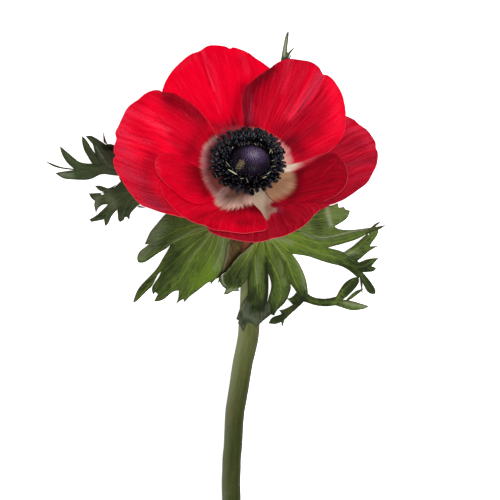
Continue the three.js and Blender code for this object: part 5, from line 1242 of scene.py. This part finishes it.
def receptacle():
    """The flared end of the stalk, on which the tepals stand."""
    n = 96
    a = np.arange(n) / n * 2 * math.pi
    rows_, radii = [], []
    lobes = np.abs(np.cos(4 * a + 0.5)) ** 0.5 * 0.24 + 0.05 * wave(91, a / (2 * math.pi), 2, 5) - 0.20
    for r, base, off in ((2.9, 0, -2.3), (3.30, 0, -1.9), (3.52, 0, -1.5), (3.9, 0, -1.1), (4.7, 1, -0.76), (5.9, 1, -0.50), (7.5, 1, -0.36), (9.0, 1, -0.31), (9.9, 1, -0.28), (10.1, 1, -0.25),
                         (9.9, 1, -0.21), (9.0, 1, -0.21), (7.5, 1, -0.22), (5.9, 1, -0.28), (4.7, 1, -0.36), (3.4, 0, -0.5), (2.6, 0, -1.5)):
        rr = r * (1 + lobes * step(np.array(r), 5.5, 9.5))
        x, y = np.cos(a) * rr, np.sin(a) * rr
        rows_.append(from_flower(x, y, bowl(x, y) * base + off))
        radii.append(np.full(n, r))
    k = len(rows_)
    idx = np.arange(k * n).reshape(k, n)
    nj, ni = np.roll(idx, -1, axis=0), np.roll(idx, -1, axis=1)
    faces = np.stack([idx, ni, np.roll(nj, -1, axis=1), nj], -1).reshape(-1, 4).tolist()
    uv = np.stack([np.abs(np.tile(a, k) - math.pi), np.concatenate(radii)], -1)
    o = mesh_object("stem_receptacle", np.vstack(rows_), faces, attributes={"rad": np.concatenate(radii)}, uvs={"grain": uv})
    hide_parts("stem")
    return o


cup = receptacle()
rm = Nodes("receptacle_pale")
grain = rm.noise(rm.mapped(rm.uv("grain"), (30, 0.25, 1)), 1.0, 3.0, 0.6)
c = rm.mix(rm.ramp(grain, 0.35, 0.65), (0.44, 0.31, 0.24), (0.54, 0.40, 0.32))
c = rm.mix(rm.ramp(rm.attr("rad"), 6.5, 10.5, 0.0, 0.75), c, (0.49, 0.29, 0.25))
c = rm.mix(rm.ramp(rm.attr("rad"), 3.3, 5.4, 0.95, 0.0), c, (0.15, 0.050, 0.030))
cup.data.materials.append(rm.surface(c, 0.6, spec=0.02, sheen=0.008, sheen_rough=0.45, normal=rm.bump(grain, 0.4, 0.00012)))

# ---------------------------------------------------------------- pistil
PISTIL = [[0, 3.2], [2.4, 3.2], [2.8, 3.6], [3.2, 4.6], [3.9, 5.6], [4.7, 6.6], [5.2, 7.3], [5.38, 7.9], [5.28, 8.8], [4.95, 9.6], [4.4, 10.3], [3.75, 10.85],
          [3.0, 11.25], [2.2, 11.5], [1.5, 11.65], [0.8, 11.72], [0.02, 11.75]]


def pistil():
    rng = np.random.RandomState(8)
    prof = smooth_line(PISTIL[1:], 3)
    prof[:, 1] -= 0.8 * step(prof[:, 1], 4.0, 6.5)
    sides = 64
    ang = np.arange(sides) / sides * 2 * math.pi
    placed = lambda x, y, h: from_flower(x * 1.09 - 0.30 * step(h, 3.5, 6.0), y - 0.45 * step(h, 3.5, 6.0), h)
    G = np.stack([placed(np.cos(ang) * r, np.sin(ang) * r, np.full(sides, hh)) for r, hh in prof])
    n = len(G)
    idx = np.arange(n * sides).reshape(n, sides)
    nx = np.roll(idx, -1, axis=1)
    faces = [tuple(f) for f in np.stack([idx[:-1], nx[:-1], nx[1:], idx[1:]], -1).reshape(-1, 4).tolist()]
    faces += [tuple(idx[0][::-1].tolist()), tuple(idx[-1].tolist())]
    V = [G.reshape(-1, 3)]
    tip = [np.zeros(n * sides)]
    cream = [np.zeros(n * sides)]
    xs = [np.tile(np.cos(ang), n) * np.repeat(prof[:, 0], sides)]
    ysl = [np.tile(np.sin(ang), n) * np.repeat(prof[:, 0], sides)]
    base = n * sides
    # carpels: small beaked bumps on a spiral over the whole head
    arc = np.concatenate([[0], np.cumsum(np.linalg.norm(np.diff(prof, axis=0), axis=1))])
    keep = prof[:, 1] > 5.3
    s0, s1 = arc[keep][0], arc[-1]
    area = np.concatenate([[0], np.cumsum((prof[1:, 0] + prof[:-1, 0]) / 2 * np.diff(arc))])
    A0, A1 = np.interp(s0, arc, area), area[-1]
    N = 1050
    for k in range(N):
        a_ = A1 - (A1 - A0) * (k + 0.5) / N
        s = np.interp(a_, area, arc)
        r, hh = np.interp(s, arc, prof[:, 0]), np.interp(s, arc, prof[:, 1])
        dr = (np.interp(s + 0.05, arc, prof[:, 0]) - np.interp(s - 0.05, arc, prof[:, 0]))
        dh = (np.interp(s + 0.05, arc, prof[:, 1]) - np.interp(s - 0.05, arc, prof[:, 1]))
        t = k * 2.399963 + rng.uniform(-0.05, 0.05)
        c_, s_ = math.cos(t), math.sin(t)
        nr, nh = dh, -dr
        L = math.hypot(nr, nh) + 1e-9
        nr, nh = nr / L, nh / L
        p = placed(np.array(c_ * r), np.array(s_ * r), np.array(hh))
        nrm = SIDE * c_ * nr + UP * s_ * nr + AXIS * nh
        nrm = nrm / np.linalg.norm(nrm)
        lean = AXIS * 0.45 + np.array([rng.uniform(-0.25, 0.25), rng.uniform(-0.25, 0.25), 0])
        d = nrm + lean
        d /= np.linalg.norm(d)
        u = np.cross(nrm, [0.3, 0.9, 0.1]); u /= np.linalg.norm(u)
        w = np.cross(nrm, u)
        m = 5
        aa = np.arange(m) / m * 2 * math.pi + rng.uniform(0, 1)
        w0, w1 = 0.26, 0.10
        length = rng.uniform(0.42, 0.66)
        pale = 1.0 if rng.uniform() < 0.95 * math.exp(-((c_ * r + 2.75) ** 2 + (s_ * r + 2.6) ** 2) / 0.8) else 0.0
        length *= 1 + 0.7 * pale
        ring0 = p - nrm * 0.06 + np.multiply.outer(np.cos(aa) * w0, u) + np.multiply.outer(np.sin(aa) * w0, w)
        ring1 = p + nrm * 0.17 + np.multiply.outer(np.cos(aa) * w1, u) + np.multiply.outer(np.sin(aa) * w1, w)
        end = p + nrm * 0.12 + d * length
        V.append(np.vstack([ring0, ring1, end]))
        tip.append(np.array([0.0] * m + [0.5] * m + [1.0]))
        cream.append(np.full(2 * m + 1, pale))
        xs.append(np.full(2 * m + 1, c_ * r)); ysl.append(np.full(2 * m + 1, s_ * r))
        for i in range(m):
            j = (i + 1) % m
            faces.append((base + i, base + j, base + m + j, base + m + i))
            faces.append((base + m + i, base + m + j, base + 2 * m))
        base += 2 * m + 1
    o = mesh_object("pistil_dome", np.vstack(V), faces,
                    attributes={"tip": np.concatenate(tip), "cream": np.concatenate(cream), "px": np.concatenate(xs), "py": np.concatenate(ysl)})
    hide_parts("pistil")
    return o


dome = pistil()
dm = Nodes("pistil_violet")
speck = dm.noise(dm.coords(), 2600.0, 3.0, 0.6)
soft = dm.noise(dm.coords(), 500.0, 2.0, 0.5)
# painted highlight: a broad violet patch up and to the right on the dome with a paler core, falling off to painted
# shade near black on the left and low side
highlight_dist = dm.math("ADD", dm.math("POWER", dm.math("SUBTRACT", dm.attr("px"), 0.8), 2.0), dm.math("POWER", dm.math("SUBTRACT", dm.attr("py"), 0.1), 2.0))
violet = dm.mix(dm.ramp(highlight_dist, -2.0, 16.0), (0.24, 0.15, 0.34), (0.007, 0.002, 0.009))
violet = dm.mix(dm.ramp(dm.math("ADD", highlight_dist, dm.math("MULTIPLY", dm.math("SUBTRACT", speck, 0.5), 8.0)), -1.0, 4.0, 0.75, 0.0), violet, (0.66, 0.60, 0.76))
c = dm.mix(dm.attr("tip"), (0.005, 0.0025, 0.007), violet)
c = dm.mix(dm.ramp(speck, 0.50, 0.75, 0.0, 0.15), c, (0.036, 0.022, 0.054))
# a few paler, cream carpels low on the left
spot = dm.math("ADD", dm.math("POWER", dm.math("ADD", dm.attr("px"), 2.75), 2.0), dm.math("POWER", dm.math("ADD", dm.attr("py"), 2.6), 2.0))
spot = dm.ramp(dm.math("ADD", spot, dm.math("MULTIPLY", dm.math("SUBTRACT", dm.noise(dm.coords(), 1300.0, 2.0, 0.6), 0.5), 9.0)), 0.0, 1.7, 0.70, 0.0)
spot = dm.math("MULTIPLY", dm.math("MAXIMUM", spot, dm.math("MULTIPLY", dm.attr("cream"), 0.65)), dm.ramp(dm.attr("tip"), 0.0, 0.8, 0.22, 1.0))
c = dm.mix(spot, c, (0.36, 0.29, 0.15))
dome.data.materials.append(dm.surface(c, 0.42, spec=0.10, sheen=0.01, sheen_tint=(0.62, 0.50, 0.90), sheen_rough=0.4,
                                      normal=dm.bump(speck, 0.4, 0.0001)))

# ---------------------------------------------------------------- stamens
def ellipsoid(centre, axis, long_r, wide_r, flat_r, side_hint, nu=8, nv=6):
    """Small closed grain: verts, faces (triangles and quads)."""
    a = axis / np.linalg.norm(axis)
    u = np.cross(a, side_hint); u /= np.linalg.norm(u) + 1e-12
    w = np.cross(a, u)
    V = [centre - a * long_r]
    for j in range(1, nv):
        t = math.pi * j / nv
        rr, zz = math.sin(t) ** 0.8, -math.cos(t)
        for i in range(nu):
            p = 2 * math.pi * i / nu
            V.append(centre + a * zz * long_r + u * math.cos(p) * rr * wide_r + w * math.sin(p) * rr * flat_r)
    V.append(centre + a * long_r)
    F = []
    for i in range(nu):
        F.append((0, 1 + (i + 1) % nu, 1 + i))
    for j in range(nv - 2):
        for i in range(nu):
            b = 1 + j * nu
            F.append((b + i, b + (i + 1) % nu, b + nu + (i + 1) % nu, b + nu + i))
    b = 1 + (nv - 2) * nu
    for i in range(nu):
        F.append((b + i, b + (i + 1) % nu, len(V) - 1))
    return np.array(V), F


RING_SHIFT = -1.0
RING_LIFT = 0.45
ROWS = {   # count, radius, height, how far the anthers stand up
    "stamens_outer": [(34, 9.85, 6.9, 0.05), (36, 9.2, 7.5, 0.2), (38, 8.6, 8.0, 0.4)],
    "stamens_inner": [(38, 8.1, 8.4, 0.55), (36, 7.6, 8.7, 0.75), (32, 7.1, 8.8, 0.95), (28, 6.7, 8.6, 1.1), (20, 6.4, 8.1, 1.2)],
}
# stray pale filaments: drawing x, y, height, heading in degrees, half length and half width in mm, paleness
STRAYS = [
    (232.5, 172.0, 9.6, -30, 1.65, 0.17, 1.0), (228.2, 164.6, 9.6, -50, 1.2, 0.13, 0.45), (241.8, 178.4, 9.4, 0, 0.55, 0.12, 0.5), (247.1, 180.4, 9.3, -70, 0.8, 0.11, 0.4),
    (264.6, 177.2, 9.4, 25, 0.7, 0.13, 0.8), (268.4, 173.2, 9.4, 35, 0.75, 0.13, 0.6), (270.2, 151.2, 9.6, 70, 0.8, 0.14, 0.6), (272.4, 152.6, 9.5, 112, 0.85, 0.13, 0.5),
    (273.4, 160.4, 9.4, 20, 0.7, 0.16, 0.35), (273.8, 166.4, 9.4, 5, 0.7, 0.16, 0.30), (260.9, 140.0, 9.7, 60, 0.35, 0.18, 0.9), (255.4, 144.0, 9.6, -45, 0.45, 0.11, 0.5),
    (261.0, 144.6, 9.5, -60, 0.5, 0.10, 0.25), (253.2, 137.8, 9.5, 0, 0.22, 0.18, 0.5), (232.5, 147.6, 9.6, 80, 0.35, 0.17, 0.6),
    (249.0, 142.6, 9.5, -60, 0.5, 0.09, 0.25)]


def stamens(node, rows, seed, pale_share):
    rng = np.random.RandomState(seed)
    V, F, kind, shade = [], [], [], []
    base = 0

    def put(v, f, k, s):
        nonlocal base
        V.append(v)
        F.extend(tuple(int(base + i) for i in face) for face in f)
        kind.append(np.full(len(v), k)); shade.append(np.full(len(v), s))
        base += len(v)
    for count, radius, height, stand in rows:
        for i in range(count):
            a = (i + rng.uniform(-0.32, 0.32)) / count * 2 * math.pi
            r = radius + rng.uniform(-0.45, 0.35) + 0.55 * max(0.0, math.sin(a)) * (radius > 8.3)
            hh = height + rng.uniform(-0.40, 0.40) + 0.13 * r * math.sin(a)
            ca, sa = math.cos(a), math.sin(a)
            shift = RING_SHIFT * (r - 4.5) / 6.0
            at = lambda rr, h_: from_flower(np.array(ca * rr + RING_SHIFT * max(0.0, (rr - 4.6)) / 6.0), np.array(sa * rr + RING_LIFT * max(0.0, (rr - 4.6)) / 6.0), np.array(h_))
            foot_r = 4.4 + rng.uniform(0, 0.8)
            foot = at(foot_r, 4.9 + rng.uniform(0, 1.2) * (1.0 if stand > 0.6 else 0.3))
            tip = at(r, hh)
            knee = at(foot_r + (r - foot_r) * 0.5, 4.9 + (hh - 4.9) * 0.66)
            line = smooth_line([foot, knee, tip], 4)
            fr = rng.uniform(0.06, 0.09)
            tv, tf = tube(line, np.full(len(line), fr), 5, across0=(0.3, 0.2, 0.9))
            pale = 1.0 if rng.uniform() < pale_share else 0.0
            put(tv, tf.tolist(), 1.0 + pale, rng.uniform())
            outward = SIDE * ca + UP * sa
            d = outward * math.cos(stand) + AXIS * math.sin(stand)
            d = d + (0.20 + 0.22 * min(1.0, stand)) * (SIDE * rng.uniform(-1, 1) + UP * rng.uniform(-1, 1) + AXIS * rng.uniform(-0.6, 1))
            d /= np.linalg.norm(d)
            tangent = np.cross(d, AXIS); tangent /= np.linalg.norm(tangent) + 1e-12
            L = rng.uniform(0.95, 1.36)
            W = rng.uniform(0.34, 0.43) + 0.04 * (radius > 9)
            roll = rng.uniform(-0.8, 0.8)
            sidev = tangent * math.cos(roll) + np.cross(d, tangent) * math.sin(roll)
            s = rng.uniform()
            for sign in (-1, 1):
                dd = d + sidev * sign * 0.06
                ev, ef = ellipsoid(tip + d * 0.35 * L + sidev * sign * W * 0.40, dd, L, W, W * 1.05, sidev, 10, 7)
                put(ev, ef, 0.0, s)
            ev, ef = ellipsoid(tip + d * 0.25 * L, d, L * 0.8, W * 0.6, W * 0.6, sidev, 6, 4)
            put(ev, ef, 0.0, s)
    if node == "stamens_inner":
        for px, py, hh, head, half, thin, paleness in STRAYS:
            x, y = drawn_on(lambda x, y: hh + 0 * x, np.array([px]), np.array([py]))[0]
            mid, b = from_flower(np.array(x), np.array(y), np.array(hh)), math.radians(head)
            way = np.array([math.cos(b), math.sin(b), rng.uniform(-0.15, 0.25)])
            way /= np.linalg.norm(way)
            ev, ef = ellipsoid(mid, way, half, thin, thin, AXIS)
            put(ev, ef, 1.38 + 0.6 * paleness ** 1.5, rng.uniform())
    else:
        # the filaments of the outer whorls stand so close that they close off the throat; one closed dark sheet,
        # coloured as the filaments, stands for them and for the shade inside the throat
        n, rows_ = 120, []
        for rr, hh in ((4.6, 3.0), (6.2, 5.0), (7.8, 6.0), (9.0, 6.4), (9.05, 6.2), (7.9, 5.7), (6.4, 4.6), (5.0, 2.8)):
            a = np.arange(n) / n * 2 * math.pi
            r = rr * (1 + 0.012 * np.cos(40 * a)) + 0.25 * wave(3, a / (2 * math.pi), 2, 30) * (rr > 8.5)
            rows_.append(from_flower(np.cos(a) * r + RING_SHIFT * (rr - 4.6) / 6.0, np.sin(a) * r + RING_LIFT * (rr - 4.6) / 6.0, hh + 0.13 * r * np.sin(a) * (rr > 5.5)))
        idx = np.arange(8 * n).reshape(8, n)
        nj, ni = np.roll(idx, -1, axis=0), np.roll(idx, -1, axis=1)
        put(np.vstack(rows_), np.stack([idx, ni, np.roll(nj, -1, axis=1), nj], -1).reshape(-1, 4).tolist(), 1.0, 0.0)
    o = mesh_object(node + "_grains", np.vstack(V), F, attributes={"kind": np.concatenate(kind), "shade": np.concatenate(shade)})
    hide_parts(node)
    return o


outer = stamens("stamens_outer", ROWS["stamens_outer"], 21, 0.02)
inner = stamens("stamens_inner", ROWS["stamens_inner"], 34, 0.0)
am = Nodes("anther_black")
grain = am.noise(am.coords(), 3000.0, 3.0, 0.6)
dark = am.mix(am.attr("shade"), (0.0008, 0.0007, 0.0016), (0.0034, 0.0030, 0.0070))
dark = am.mix(am.ramp(grain, 0.5, 0.75, 0.0, 0.3), dark, (0.011, 0.011, 0.017))
# painted highlight: a random share of the anthers turned lighter bluish-grey, standing in for glints
dark = am.mix(am.ramp(am.attr("shade"), 0.80, 1.0, 0.0, 0.7), dark, (0.022, 0.023, 0.034))
filament = am.mix(am.attr("shade"), (0.003, 0.0010, 0.003), (0.012, 0.003, 0.008))
c = am.mix(am.ramp(am.attr("kind"), 0.4, 0.6), dark, filament)
c = am.mix(am.ramp(am.attr("kind"), 1.3, 2.0, 0.0, 1.0, False), c, (0.46, 0.45, 0.27))
black = am.surface(c, 0.27, spec=0.20, sheen=0.0, normal=am.bump(grain, 0.2, 0.00006))
outer.data.materials.append(black)
inner.data.materials.append(black)

# ---------------------------------------------------------------- floor, light, finish
floor = mesh_object("floor", [[-900, -900, 0], [900, -900, 0], [900, 900, 0], [-900, 900, 0]], [(0, 1, 2, 3)], body=None, smooth=False, shift=False)
fm = Nodes("floor_white")
fm.surface((0.86, 0.86, 0.86), 0.9, spec=0.1)
fm.bsdf.inputs["Emission Color"].default_value = (1, 1, 1, 1)
fm.bsdf.inputs["Emission Strength"].default_value = 0.93
floor.data.materials.append(fm.mat)

FLOWER_AT = Vector(((HEART[0] - ORIGIN[0]) * 0.001, (HEART[1] - ORIGIN[1]) * 0.001, 0.02))


def area(name, direction, distance, size, power, color=(1, 1, 1), target=FLOWER_AT):
    d = Vector(direction).normalized()
    l = bpy.data.lights.new(name, "AREA")
    l.shape = "DISK"
    l.size = size
    l.energy = power
    l.color = color
    o = bpy.data.objects.new(name, l)
    o.location = target + d * distance
    o.rotation_euler = (-d).to_track_quat("-Z", "Y").to_euler()
    bpy.context.scene.collection.objects.link(o)
    return o


area("key", (0.30, -0.10, 0.95), 0.9, 0.50, 11.0)
area("spark", (0.446, 0.52, 0.73), 0.9, 0.28, 1.6)
area("left", (-0.80, 0.0, 0.60), 0.9, 0.5, 1.5)
world = bpy.data.worlds.new("studio")
world.use_nodes = True
world.node_tree.nodes["Background"].inputs["Color"].default_value = (1, 1, 1, 1)
world.node_tree.nodes["Background"].inputs["Strength"].default_value = 0.05
bpy.context.scene.world = world
bpy.context.scene.view_settings.view_transform = "Standard"
bpy.context.scene.view_settings.look = "None"
